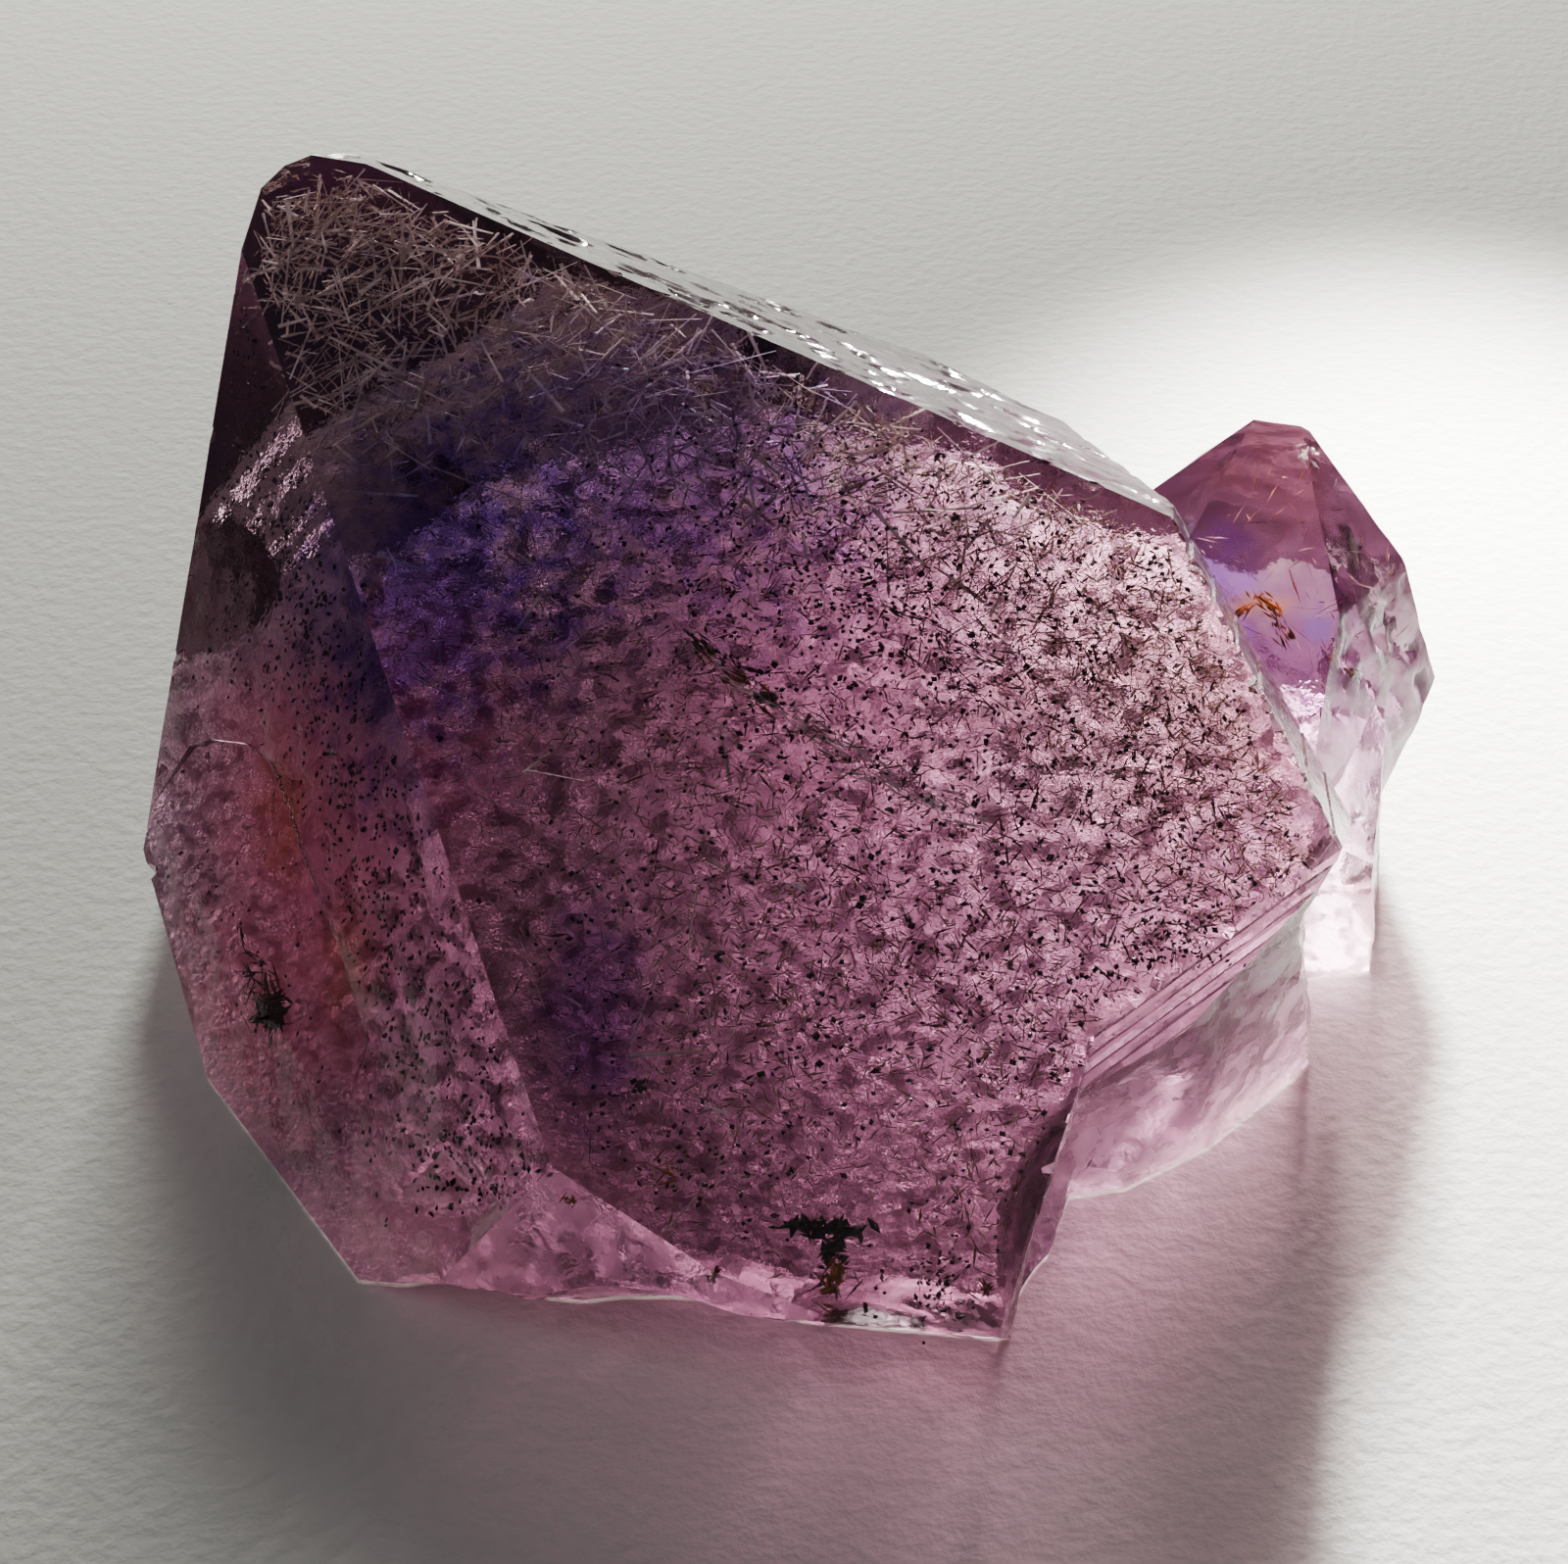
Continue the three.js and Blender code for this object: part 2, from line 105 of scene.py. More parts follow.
def make_mesh(name, points, triangles, slots=None, smooth=False, values=None):
    """A mesh object from points in millimetres and rows of three indices. The values are
    named numbers, one for each triangle, which a material can read."""
    mesh = bpy.data.meshes.new(name)
    points = np.ascontiguousarray(points * MM, dtype=np.float32)
    triangles = np.ascontiguousarray(triangles, dtype=np.int32)
    mesh.vertices.add(len(points))
    mesh.vertices.foreach_set("co", points.ravel())
    mesh.loops.add(triangles.size)
    mesh.loops.foreach_set("vertex_index", triangles.ravel())
    mesh.polygons.add(len(triangles))
    mesh.polygons.foreach_set("loop_start", np.arange(0, triangles.size, 3, dtype=np.int32))
    if slots is not None:
        mesh.polygons.foreach_set("material_index", slots.astype(np.int32))
    mesh.polygons.foreach_set("use_smooth", np.full(len(triangles), smooth))
    for key, numbers in (values or {}).items():
        mesh.attributes.new(key, "FLOAT", "FACE").data.foreach_set("value", numbers.astype(np.float32))
    mesh.update(calc_edges=True)
    mesh.validate()
    piece = linked(name, mesh)
    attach(piece, "root")
    print(name, len(points), "points", len(triangles), "triangles")
    return piece


def smooth_step(x):
    """0 below 0, 1 above 1, and an S-shaped rise between."""
    x = np.clip(x, 0.0, 1.0)
    return x * x * (3 - 2 * x)


def unit(rows):
    """Each row of an array at length 1."""
    return rows / np.linalg.norm(rows, axis=1)[:, None]


def waves(points, wavelength, seed, count=24, stretch=None, factor=1.0):
    """The mean of sine waves of about one wavelength that run in random directions, from
    about -1 to 1. Along the stretch direction they are drawn out by the factor."""
    rng = np.random.default_rng(seed)
    heading = unit(rng.normal(size=(count, 3)))
    if stretch is not None:
        along = (heading @ stretch)[:, None] * stretch
        heading = heading - along + along / factor
    heading *= 2 * math.pi / (wavelength * rng.uniform(0.7, 1.4, count))[:, None]
    phase = rng.uniform(0, 2 * math.pi, count)
    return np.sin(points @ heading.T + phase).sum(axis=1) / math.sqrt(count)


# %% [markdown]
# ## The skin: read the solid
#
# The solid's flat faces are a few long triangles, which can't carry relief. A copy of its
# corners is merged first, and triangles that share one plane are collected into regions.
# Each region will be filled again with small even triangles.

# %% Merge the corners
def merged_solid(node):
    """Corners in millimetres, each one kept once, and triangles as rows of indices."""
    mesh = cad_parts[node].data
    corners = np.empty(len(mesh.vertices) * 3, dtype=np.float32)
    mesh.vertices.foreach_get("co", corners)
    mesh.calc_loop_triangles()
    triangles = np.empty(len(mesh.loop_triangles) * 3, dtype=np.int32)
    mesh.loop_triangles.foreach_get("vertices", triangles)
    corners, place = np.unique(corners.reshape(-1, 3), axis=0, return_inverse=True)
    triangles = place.reshape(-1)[triangles].reshape(-1, 3)
    return corners.astype(float) / MM, triangles


def triangle_planes(corners, triangles):
    """Unit normals, the height of each triangle over its longest edge, and its area."""
    a, b, c = (corners[triangles[:, k]] for k in range(3))
    cross = np.cross(b - a, c - a)
    twice_area = np.linalg.norm(cross, axis=1)
    longest = np.max([np.linalg.norm(b - a, axis=1), np.linalg.norm(c - b, axis=1),
                      np.linalg.norm(a - c, axis=1)], axis=0)
    normals = cross / np.maximum(twice_area, 1e-12)[:, None]
    return normals, twice_area / np.maximum(longest, 1e-12), twice_area / 2


solid_corners, solid_triangles = merged_solid(NODE)
plane_normals, plane_heights, plane_areas = triangle_planes(solid_corners, solid_triangles)
print("solid", len(solid_corners), "corners", len(solid_triangles), "triangles")

# %% [markdown]
# Two neighbours are one region if their planes agree. A sliver has no sure plane of its
# own, so it joins the neighbour across its longest edge.

# %% Collect the regions
SAME_PLANE = 0.99998  # least cosine between the normals of one region
SLIVER = 0.012  # mm, height under which a triangle is a sliver


def shared_edges(triangles):
    """Each edge once, as its two ends, and the two triangles that meet there."""
    edges = np.concatenate([triangles[:, [0, 1]], triangles[:, [1, 2]], triangles[:, [2, 0]]])
    owner = np.tile(np.arange(len(triangles)), 3)
    order = np.lexsort(np.sort(edges, axis=1).T[::-1])
    edges, owner = np.sort(edges, axis=1)[order], owner[order]
    same = (edges[1:] == edges[:-1]).all(axis=1)
    first = np.flatnonzero(same)
    return edges[first], owner[first], owner[first + 1], len(edges) - 2 * len(first)


def spread_least(count, one, other):
    """Group numbers: every number takes the least of its linked ones until nothing changes."""
    group = np.arange(count)
    while True:
        least = np.minimum(group[one], group[other])
        before = group.copy()
        np.minimum.at(group, one, least)
        np.minimum.at(group, other, least)
        group = group[group]
        if (group == before).all():
            return group


def collect_regions(corners, triangles):
    """A region number for each triangle, the same one for those whose planes agree."""
    edges, one, other, odd = shared_edges(triangles)
    sliver = plane_heights < SLIVER
    agree = (plane_normals[one] * plane_normals[other]).sum(axis=1) > SAME_PLANE
    agree &= ~sliver[one] & ~sliver[other]
    length = np.linalg.norm(corners[edges[:, 0]] - corners[edges[:, 1]], axis=1)
    longest = np.zeros(len(triangles))
    np.maximum.at(longest, one, length)
    np.maximum.at(longest, other, length)
    agree |= sliver[one] & (length >= longest[one] - 1e-9)
    agree |= sliver[other] & (length >= longest[other] - 1e-9)
    return spread_least(len(triangles), one[agree], other[agree]), edges, one, other, odd


region, edges, edge_one, edge_other, odd_edges = collect_regions(solid_corners, solid_triangles)
regions = np.unique(region)
print(len(regions), "regions,", odd_edges, "edges without a partner")

# %% [markdown]
# Each region is sorted by what it is on the stone, because a grown face and a break don't
# feel alike: a grown face is flat with faint growth lines, the walls are striated across,
# and a break is rippled like the inside of a shell. A grown face is known by its angle.

# %% Sort the regions
PYRAMID_TILT = 51.79
SHOULDER_TILT = 70.0
WALL_TILT = 90.0
SIDE_AXIS = np.array([0.0872, 0.0, 0.9962])
SIDE_FRONT = np.array([-0.1386, -0.9903, 0.0121])


def turned(vector, axis, degrees):
    """A vector turned about an axis: its part across the axis swings round in a circle."""
    angle = math.radians(degrees)
    along = axis * (vector @ axis)
    across = vector - along
    return along + across * math.cos(angle) + np.cross(axis, across) * math.sin(angle)


def six_normals(axis, outward, tilt):
    """The normals of six faces around an axis, all with the same tilt from it."""
    outward = outward - axis * (outward @ axis)
    outward /= np.linalg.norm(outward)
    lean = math.radians(tilt)
    first = axis * math.cos(lean) + outward * math.sin(lean)
    return np.array([turned(first, axis, 60.0 * k) for k in range(6)])


main_slopes = six_normals(LONG_AXIS, LARGE["normal"], PYRAMID_TILT)
main_walls = six_normals(LONG_AXIS, LARGE["normal"], WALL_TILT)
side_slopes = six_normals(SIDE_AXIS, SIDE_FRONT, PYRAMID_TILT)
side_shoulders = six_normals(SIDE_AXIS, SIDE_FRONT, SHOULDER_TILT)
side_walls = six_normals(SIDE_AXIS, SIDE_FRONT, WALL_TILT)
ANGLES = {"main slope": main_slopes, "main wall": main_walls, "side slope": side_slopes,
          "side shoulder": side_shoulders, "side wall": side_walls}
LEAST_FACE = 1.5  # mm2, a smaller region is a break
LEAST_BREAK = 0.15  # mm2, and a still smaller one is a chip
ONE_FACE = 0.9997  # least cosine between a region and one of the two big faces
ANY_FACE = 0.9995  # the same for the other grown faces
LEFT_LEDGES = 0.97  # and for the ledges of the left face, which lean a little
FLAT_DOWN = -0.999


def sort_region(normal, area):
    """What a region is, from the direction of its normal."""
    if normal[2] < FLAT_DOWN:
        return "base"
    if area > LEAST_FACE:
        if normal @ LARGE["normal"] > ONE_FACE:
            return "large"
        if normal @ DIMPLED["normal"] > ONE_FACE:
            return "dimpled"
        if normal @ FRONT_WALL["normal"] > ANY_FACE:
            return "front wall"
        for kind, normals in ANGLES.items():
            if (normals @ normal).max() > ANY_FACE:
                return kind
        if normal @ LEFT["normal"] > LEFT_LEDGES:
            return "main slope"
    return "break" if area > LEAST_BREAK else "chip"


# the distance between the points of each kind, in millimetres
PITCH = {"base": 2.5, "large": 0.4, "dimpled": 0.27, "main slope": 0.3, "main wall": 0.32,
         "front wall": 0.16, "side slope": 0.3, "side shoulder": 0.3, "side wall": 0.3,
         "break": 0.34, "chip": 0.34}
region_kind, region_normal = {}, {}
for number in regions:
    members = np.flatnonzero(region == number)
    widest = members[np.argmax(plane_areas[members] * (plane_heights[members] > SLIVER / 4))]
    region_normal[number] = plane_normals[widest]
    region_kind[number] = sort_region(plane_normals[widest], plane_areas[members].sum())
for kind in PITCH:
    alike = [number for number in regions if region_kind[number] == kind]
    print(kind, len(alike), "regions", round(plane_areas[np.isin(region, alike)].sum()), "mm2")

# %% [markdown]
# ## The skin: fill it again
#
# First the edges between regions get evenly spaced points, which both neighbours share, so
# that the skin stays closed. Then each region is filled with a field of staggered points,
# and a constrained triangulation joins them. Remeshing the whole stone would be shorter,
# but it rounds the sharp edges, and those are what makes it a crystal.

# %% Points along the edges
apart = region[edge_one] != region[edge_other]
border, left_of, right_of = edges[apart], region[edge_one[apart]], region[edge_other[apart]]
border_pitch = np.array([min(PITCH[region_kind[a]], PITCH[region_kind[b]])
                         for a, b in zip(left_of, right_of)])
start, end = solid_corners[border[:, 0]], solid_corners[border[:, 1]]
pieces = np.maximum(1, np.rint(np.linalg.norm(end - start, axis=1) / border_pitch)).astype(int)
piece_border = np.repeat(np.arange(len(border)), pieces)
piece_place = np.arange(len(piece_border)) - np.repeat(np.cumsum(pieces) - pieces, pieces)
inner = piece_place > 0
share = (piece_place / pieces[piece_border])[inner, None]
edge_points = start[piece_border[inner]] * (1 - share) + end[piece_border[inner]] * share
number_here = len(solid_corners) + np.cumsum(inner) - 1
piece_from = np.where(inner, number_here, border[piece_border, 0])
last = piece_place == pieces[piece_border] - 1
piece_to = np.where(last, border[piece_border, 1], np.roll(number_here, -1))
print(len(border), "borders in", len(piece_border), "pieces")

# %% [markdown]
# Filling a region takes three small tools: a test for points within its outline, the
# distance to its edge, and a field of points in staggered rows, which gives even triangles.

# %% Inside or outside an outline
BATCH = 1500  # points that are handled at once, to spare memory


def inside_outline(points, tails, heads):
    """A point is inside if a ray from it to the right crosses the outline an odd number of
    times."""
    result = np.zeros(len(points), dtype=bool)
    rise = heads[:, 1] - tails[:, 1]
    rise[rise == 0] = 1e-12
    for first in range(0, len(points), BATCH):
        x, y = points[first:first + BATCH, 0:1], points[first:first + BATCH, 1:2]
        crosses = (tails[:, 1] > y) != (heads[:, 1] > y)
        at = tails[:, 0] + (y - tails[:, 1]) * (heads[:, 0] - tails[:, 0]) / rise
        result[first:first + BATCH] = (crosses & (at > x)).sum(axis=1) % 2 == 1
    return result


def nearest(points, others):
    """The distance from each point to the nearest of the others."""
    result = np.empty(len(points))
    for first in range(0, len(points), BATCH):
        gap = points[first:first + BATCH, None, :] - others[None, :, :]
        result[first:first + BATCH] = np.sqrt((gap ** 2).sum(axis=2).min(axis=1))
    return result


NUDGE = 0.16  # share of the pitch


def staggered(low, high, pitch, rng):
    """Points in rows, every second row moved by half a step, each point nudged a little."""
    rows = np.arange(low[1], high[1], pitch * math.sqrt(0.75))
    columns = np.arange(low[0], high[0], pitch)
    x, y = np.meshgrid(columns, rows)
    x = x + (np.arange(len(rows)) % 2)[:, None] * pitch / 2
    nudge = rng.uniform(-NUDGE, NUDGE, (x.size, 2)) * pitch
    return np.stack([x.ravel(), y.ravel()], axis=1) + nudge


# %% [markdown]
# The triangulation fills the hull of a region, so what lies outside its outline has to go.
# Along a straight border the outer triangles have no width, and where their middle lies is
# a matter of rounding. So triangles are judged in groups that no border divides.

# %% Which triangles to keep
def double_area(a, b, c):
    """Twice the area of triangles in the first two coordinates, with a sign for their turn."""
    return (b[:, 0] - a[:, 0]) * (c[:, 1] - a[:, 1]) - (b[:, 1] - a[:, 1]) * (c[:, 0] - a[:, 0])


def enclosed(placed, faces, walls, tails, heads):
    """Whether each triangle lies inside the outline. A group that reaches the rim of the
    hull is outside; for the others the larger part of their area decides."""
    edges = np.concatenate([faces[:, [0, 1]], faces[:, [1, 2]], faces[:, [2, 0]]])
    edges = np.sort(edges, axis=1)
    key = edges[:, 0] * len(placed) + edges[:, 1]
    walls = np.sort(walls, axis=1)
    is_open = ~np.isin(key, walls[:, 0] * len(placed) + walls[:, 1])
    owner = np.tile(np.arange(len(faces)), 3)[is_open]
    order = np.argsort(key[is_open], kind="stable")
    key, owner = key[is_open][order], owner[order]
    same = np.flatnonzero(key[1:] == key[:-1])
    group = spread_least(len(faces), owner[same], owner[same + 1])
    alone = np.ones(len(key), dtype=bool)
    alone[same] = alone[same + 1] = False
    a, b, c = (placed[faces[:, k]] for k in range(3))
    area = np.abs(double_area(a, b, c))
    signed = np.where(inside_outline(placed[faces].mean(axis=1), tails, heads), area, -area)
    vote = np.bincount(group, signed, len(faces))
    vote[group[owner[alone]]] = -1.0
    return vote[group] > 0


# %% [markdown]
# A region is filled in its own plane, in two dimensions. The new points keep a little
# away from the edge, so that no triangle there is much thinner than the others.

# %% Fill one region
NARROW = 1.2  # pitches, a region that is narrower gets no points of its own
EDGE_GAP = 0.62  # pitches between an inner point and the edge


def fill_region(number, skin_points, rng):
    """The region's triangles, as indices into all points; new inner points are appended."""
    pitch = PITCH[region_kind[number]]
    normal = region_normal[number]
    mine = (left_of[piece_border] == number) | (right_of[piece_border] == number)
    ring = np.unique(np.concatenate([piece_from[mine], piece_to[mine]]))
    spot = {old: new for new, old in enumerate(ring)}
    tails = np.array([spot[k] for k in piece_from[mine]])
    heads = np.array([spot[k] for k in piece_to[mine]])
    across = np.cross([0.2, 0.3, 1.0] if abs(normal[2]) < 0.9 else [1.0, 0.0, 0.0], normal)
    across /= np.linalg.norm(across)
    frame_2d = np.stack([across, np.cross(normal, across)], axis=1)
    known = np.concatenate(skin_points)
    origin = known[ring].mean(axis=0)
    flat = (known[ring] - origin) @ frame_2d
    size = flat.max(axis=0) - flat.min(axis=0)
    filling = np.empty((0, 2))
    if size.min() > NARROW * pitch:
        filling = staggered(flat.min(axis=0), flat.max(axis=0), pitch, rng)
        filling = filling[inside_outline(filling, flat[tails], flat[heads])]
        if len(filling):
            filling = filling[nearest(filling, flat) > EDGE_GAP * pitch]
    every = np.concatenate([flat, filling])
    found = delaunay_2d_cdt([Vector(p) for p in every], list(zip(tails.tolist(), heads.tolist())),
                            [], 0, 1e-7, True)
    placed = np.array([tuple(p) for p in found[0]])
    faces = np.array([f for f in found[2] if len(f) == 3], dtype=int)
    walls = np.array([edge for edge, ids in zip(found[1], found[4]) if len(ids)])
    faces = faces[enclosed(placed, faces, walls, flat[tails], flat[heads])]
    start_here = sum(len(p) for p in skin_points)
    new_points = origin + filling @ frame_2d.T
    numbers = np.concatenate([ring, start_here + np.arange(len(filling))])
    source = np.array([ids[0] if len(ids) else -1 for ids in found[3]])
    if (source < 0).any():
        extra = np.flatnonzero(source < 0)
        new_points = np.concatenate([new_points, origin + placed[extra] @ frame_2d.T])
        numbers = np.concatenate([numbers, start_here + len(filling) + np.arange(len(extra))])
        source[extra] = len(every) + np.arange(len(extra))
    faces = numbers[source[faces]]
    distinct = (faces != np.roll(faces, 1, axis=1)).all(axis=1)
    return new_points, faces[distinct], numbers, len(ring)


rng = np.random.default_rng(5)
skin_points = [solid_corners, edge_points]
skin_triangles, skin_region, members_of = [], [], {}
for number in regions:
    added, faces, numbers, ring_count = fill_region(number, skin_points, rng)
    skin_points.append(added)
    skin_triangles.append(faces)
    skin_region.append(np.full(len(faces), number))
    members_of[number] = (numbers, ring_count)
skin = np.concatenate(skin_points)
skin_triangles, skin_region = np.concatenate(skin_triangles), np.concatenate(skin_region)
print("skin", len(skin), "points", len(skin_triangles), "triangles")

# %% [markdown]
# Two slivers can come out as the front and the back of one triangle, and a sliver can be
# lost, because it has no width in the plane of its region. The first kind is taken out and
# the second is put back, so that every edge of the skin has two triangles.

# %% Mend the seams
def half_edges(triangles, count):
    """Each side of each triangle as one number that keeps its direction, and its reverse."""
    tail, head = triangles.ravel(), np.roll(triangles, -1, axis=1).ravel()
    return tail.astype(np.int64) * count + head, head.astype(np.int64) * count + tail


def without_doubles(triangles, owners):
    """Triangles on the same three corners cancel each other out in pairs."""
    _, first, place, uses = np.unique(np.sort(triangles, axis=1), axis=0, return_index=True,
                                      return_inverse=True, return_counts=True)
    keep = uses[place.reshape(-1)] == 1
    keep[first[uses % 2 == 1]] = True
    return triangles[keep], owners[keep]


def hole_triangles(triangles, count):
    """A triangle for each hole with three sides; its sides run against those of the hole."""
    forward, backward = half_edges(triangles, count)
    lone = forward[~np.isin(forward, backward)]
    tail, head = lone // count, lone % count
    a, b = np.nonzero(head[:, None] == tail[None, :])
    closing = head[b] * count + tail[a]
    closed = np.isin(closing, lone) & (tail[a] < head[a]) & (tail[a] < head[b])
    return np.stack([head[a], tail[a], head[b]], axis=1)[closed], len(lone)


skin_triangles, skin_region = without_doubles(skin_triangles, skin_region)
missing, open_sides = hole_triangles(skin_triangles, len(skin))
skin_triangles = np.concatenate([skin_triangles, missing])
skin_region = np.concatenate([skin_region, np.full(len(missing), skin_region[-1])])
print(open_sides, "open sides,", len(missing), "triangles put back;",
      hole_triangles(skin_triangles, len(skin))[1], "open sides left")

# %% [markdown]
# ## The skin: relief
#
# Grown faces have low hills and fine lines; the dimpled face is covered with drops drawn
# out along the ridge, which catch the light; the walls are striated; and a break has
# rings that spread from where it was struck, with a finer tear over them. The height is
# a function of the place alone, so that neighbouring regions meet. It dies away at a
# sharp edge and is nothing on the face that the stone rests on.

# %% Heights
RIDGE = np.cross(LARGE["normal"], DIMPLED["normal"])
RIDGE /= np.linalg.norm(RIDGE)
FACET = [(5.75, -8.59), (10.9, -6.76), (11.87, -4.48), (7.39, -4.76)]  # u and v, left face
FACET_DEPTH = 0.22  # mm
FACET_RAMP = 0.35  # mm, over which it is reached
STRUCK_AT = np.array([[19.5, -13.0, 9.5], [-4.0, -30.0, 9.0], [6.0, 34.0, -6.0], [27.0, 6.0, 2.0]])


def drops(points, wavelength, seed, stretch, factor, bare):
    """Hollows where a field of drawn-out waves rises above a bare share of its height."""
    return -np.maximum(waves(points, wavelength, seed, 40, stretch, factor) - bare, 0.0)


def rings(points, spacing, seed):
    """Sine rings about the nearest struck point, bent by slow waves."""
    away = np.sqrt(((points[:, None, :] - STRUCK_AT) ** 2).sum(axis=2)).min(axis=1)
    return np.sin(2 * math.pi * away / spacing + 2.2 * waves(points, 6.0, seed))


def facet_share(points):
    """1 within the small four-sided facet of the left face, falling to 0 at its sides."""
    along, up = face_directions(LEFT["normal"])
    flat = np.stack([points @ along, points @ up], axis=1)
    depth = np.full(len(points), np.inf)
    for tail, head in zip(FACET, FACET[1:] + FACET[:1]):
        side = np.subtract(head, tail) / np.linalg.norm(np.subtract(head, tail))
        away = side[0] * (flat[:, 1] - tail[1]) - side[1] * (flat[:, 0] - tail[0])
        depth = np.minimum(depth, away)
    return smooth_step(depth / FACET_RAMP)


def height_of(kind, points, normal):
    """Relief in millimetres for one kind of surface."""
    if kind == "large":
        return 0.02 * waves(points, 6.0, 1) + 0.006 * waves(points, 1.3, 2, 24, RIDGE, 3.0)
    if kind == "dimpled":
        deep = drops(points, 1.2, 3, RIDGE, 2.4, 0.25)
        return 0.17 * deep + 0.03 * waves(points, 4.0, 4) + 0.012 * waves(points, 0.7, 5)
    if kind == "main wall":
        along = points @ LONG_AXIS
        lines = np.sin(2 * math.pi * along / 0.9 + 1.5 * waves(points, 9.0, 6))
        return 0.016 * lines + 0.02 * waves(points, 3.0, 7)
    if kind == "front wall":
        along = points @ LONG_AXIS
        lines = np.sin(2 * math.pi * along / 0.55 + 0.8 * waves(points, 7.0, 6))
        lines = lines * (0.7 + 0.3 * waves(points, 5.0, 18))
        return 0.035 * lines + 0.02 * waves(points, 3.0, 7)
    if kind == "main slope":
        hills = 0.03 * waves(points, 5.0, 8) + 0.01 * waves(points, 1.4, 9, 24, LONG_AXIS, 3.0)
        on_left = normal @ LEFT["normal"] > LEFT_LEDGES
        return hills - FACET_DEPTH * facet_share(points) * on_left
    if kind.startswith("side"):
        ledges = drops(points, 1.0, 10, SIDE_AXIS, 1.8, 0.3) * (normal[0] > 0.3)
        return 0.16 * ledges + 0.05 * waves(points, 2.5, 11) + 0.012 * waves(points, 0.8, 12)
    if kind == "chip":
        return np.zeros(len(points))
    tear = 0.07 * waves(points, 2.2, 13) + 0.03 * waves(points, 0.8, 14)
    return tear + 0.05 * rings(points, 1.5, 15) * (0.6 + 0.4 * waves(points, 4.0, 16))


# %% [markdown]
# The skin is raised along the mean normal of the regions that meet at a point. Between two
# breaks that nearly run on into each other the relief goes through without a seam.

# %% Raise the skin
SOFT_TURN = 0.8  # cosine, breaks that meet at less than this angle have no sharp edge
EDGE_SHARE = 0.3  # how much of the relief is left at a sharp edge
EDGE_REACH = 0.7  # mm, over which it dies away
facing = np.zeros((len(skin), 3))
meeting = np.zeros(len(skin))
held = np.zeros(len(skin), dtype=bool)
grown = np.zeros(len(skin), dtype=bool)
for number in regions:
    numbers, _ = members_of[number]
    facing[numbers] += region_normal[number]
    meeting[numbers] += 1
    held[numbers] |= region_kind[number] == "base"
    grown[numbers] |= region_kind[number] != "break"
turn = np.linalg.norm(facing, axis=1) / np.maximum(meeting, 1)
facing /= np.maximum(np.linalg.norm(facing, axis=1), 1e-9)[:, None]
sharp = (meeting > 1) & (grown | (turn < SOFT_TURN))
height, weight = np.zeros(len(skin)), np.zeros(len(skin))
for number in regions:
    numbers, ring_count = members_of[number]
    edge_here = numbers[:ring_count][sharp[numbers[:ring_count]]]
    share = np.ones(len(numbers))
    if len(edge_here):
        share = smooth_step(nearest(skin[numbers], skin[edge_here]) / EDGE_REACH)
        share = EDGE_SHARE + (1 - EDGE_SHARE) * share
    here = height_of(region_kind[number], skin[numbers], region_normal[number])
    height[numbers] += share * here
    weight[numbers] += 1
height = np.where(held, 0.0, height / np.maximum(weight, 1))
raised = skin + height[:, None] * facing
raised[:, 2] = np.maximum(raised[:, 2], 0.0)
print("relief from", round(height.min(), 2), "to", round(height.max(), 2), "mm")

# %% [markdown]
# Each kind of surface has its own roughness and its own paleness. Both are stored on the
# triangles, so one material serves the whole stone. Only the face that the stone rests on
# has a material of its own.

# %% Make the skin
used, places = np.unique(skin_triangles, return_inverse=True)
raised, skin_triangles = raised[used], places.reshape(-1, 3)
SHARP_ANGLE = math.radians(24)
# kind of surface: how rough it is, and how far its scattered light is paler than its zone
SURFACES = {"large": (0.03, 0.0), "dimpled": (0.10, 0.45), "main slope": (0.04, 0.0),
            "main wall": (0.16, 0.5), "front wall": (0.10, 0.8), "side slope": (0.05, 0.0),
            "side shoulder": (0.12, 0.05), "side wall": (0.10, 0.05), "break": (0.20, 0.15),
            "chip": (0.08, 0.2), "base": (0.45, 0.0)}
finish_of = {number: SURFACES[region_kind[number]] for number in regions}
skin_finish = np.array([finish_of[number] for number in skin_region])
resting = np.array([region_kind[number] == "base" for number in skin_region])
crystal = make_mesh("crystal", raised, skin_triangles, resting, smooth=True,
                    values={"roughness": skin_finish[:, 0], "paleness": skin_finish[:, 1]})
crystal.data.set_sharp_from_angle(angle=SHARP_ANGLE)
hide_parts(NODE)

# %% [markdown]
# ## Finish: helpers for nodes
#
# The patterns read Object coordinates, which are in metres here, so a first node turns
# them into millimetres. An effect that several materials share is a node group.

# %% Node helpers
def add_node(tree, kind, settings=None, **inputs):
    """A node with its settings and its inputs, each a plain value or another node's socket."""
    node = tree.nodes.new(kind)
    for key, value in (settings or {}).items():
        setattr(node, key, value)
    for key, value in inputs.items():
        socket = node.inputs[int(key[1:])] if key[0] == "_" else node.inputs[key.replace("_", " ")]
        if isinstance(value, bpy.types.NodeSocket):
            tree.links.new(value, socket)
        else:
            socket.default_value = value
    return node


def sums(tree, operation, a, b=0.0, clamp=False):
    """One arithmetic step on numbers."""
    return add_node(tree, "ShaderNodeMath", {"operation": operation, "use_clamp": clamp},
                    _0=a, _1=b).outputs[0]


def blend_colour(tree, share, under, over, way="MIX"):
    """A colour laid over another by a share."""
    node = add_node(tree, "ShaderNodeMix", {"data_type": "RGBA", "blend_type": way},
                    _0=share, _6=under, _7=over)
    return node.outputs[2]


def grain(tree, vector, scale, detail=3.0, rough=0.55):
    """A noise value around one half."""
    return add_node(tree, "ShaderNodeTexNoise", None, Vector=vector, Scale=scale, Detail=detail,
                    Roughness=rough).outputs[0]


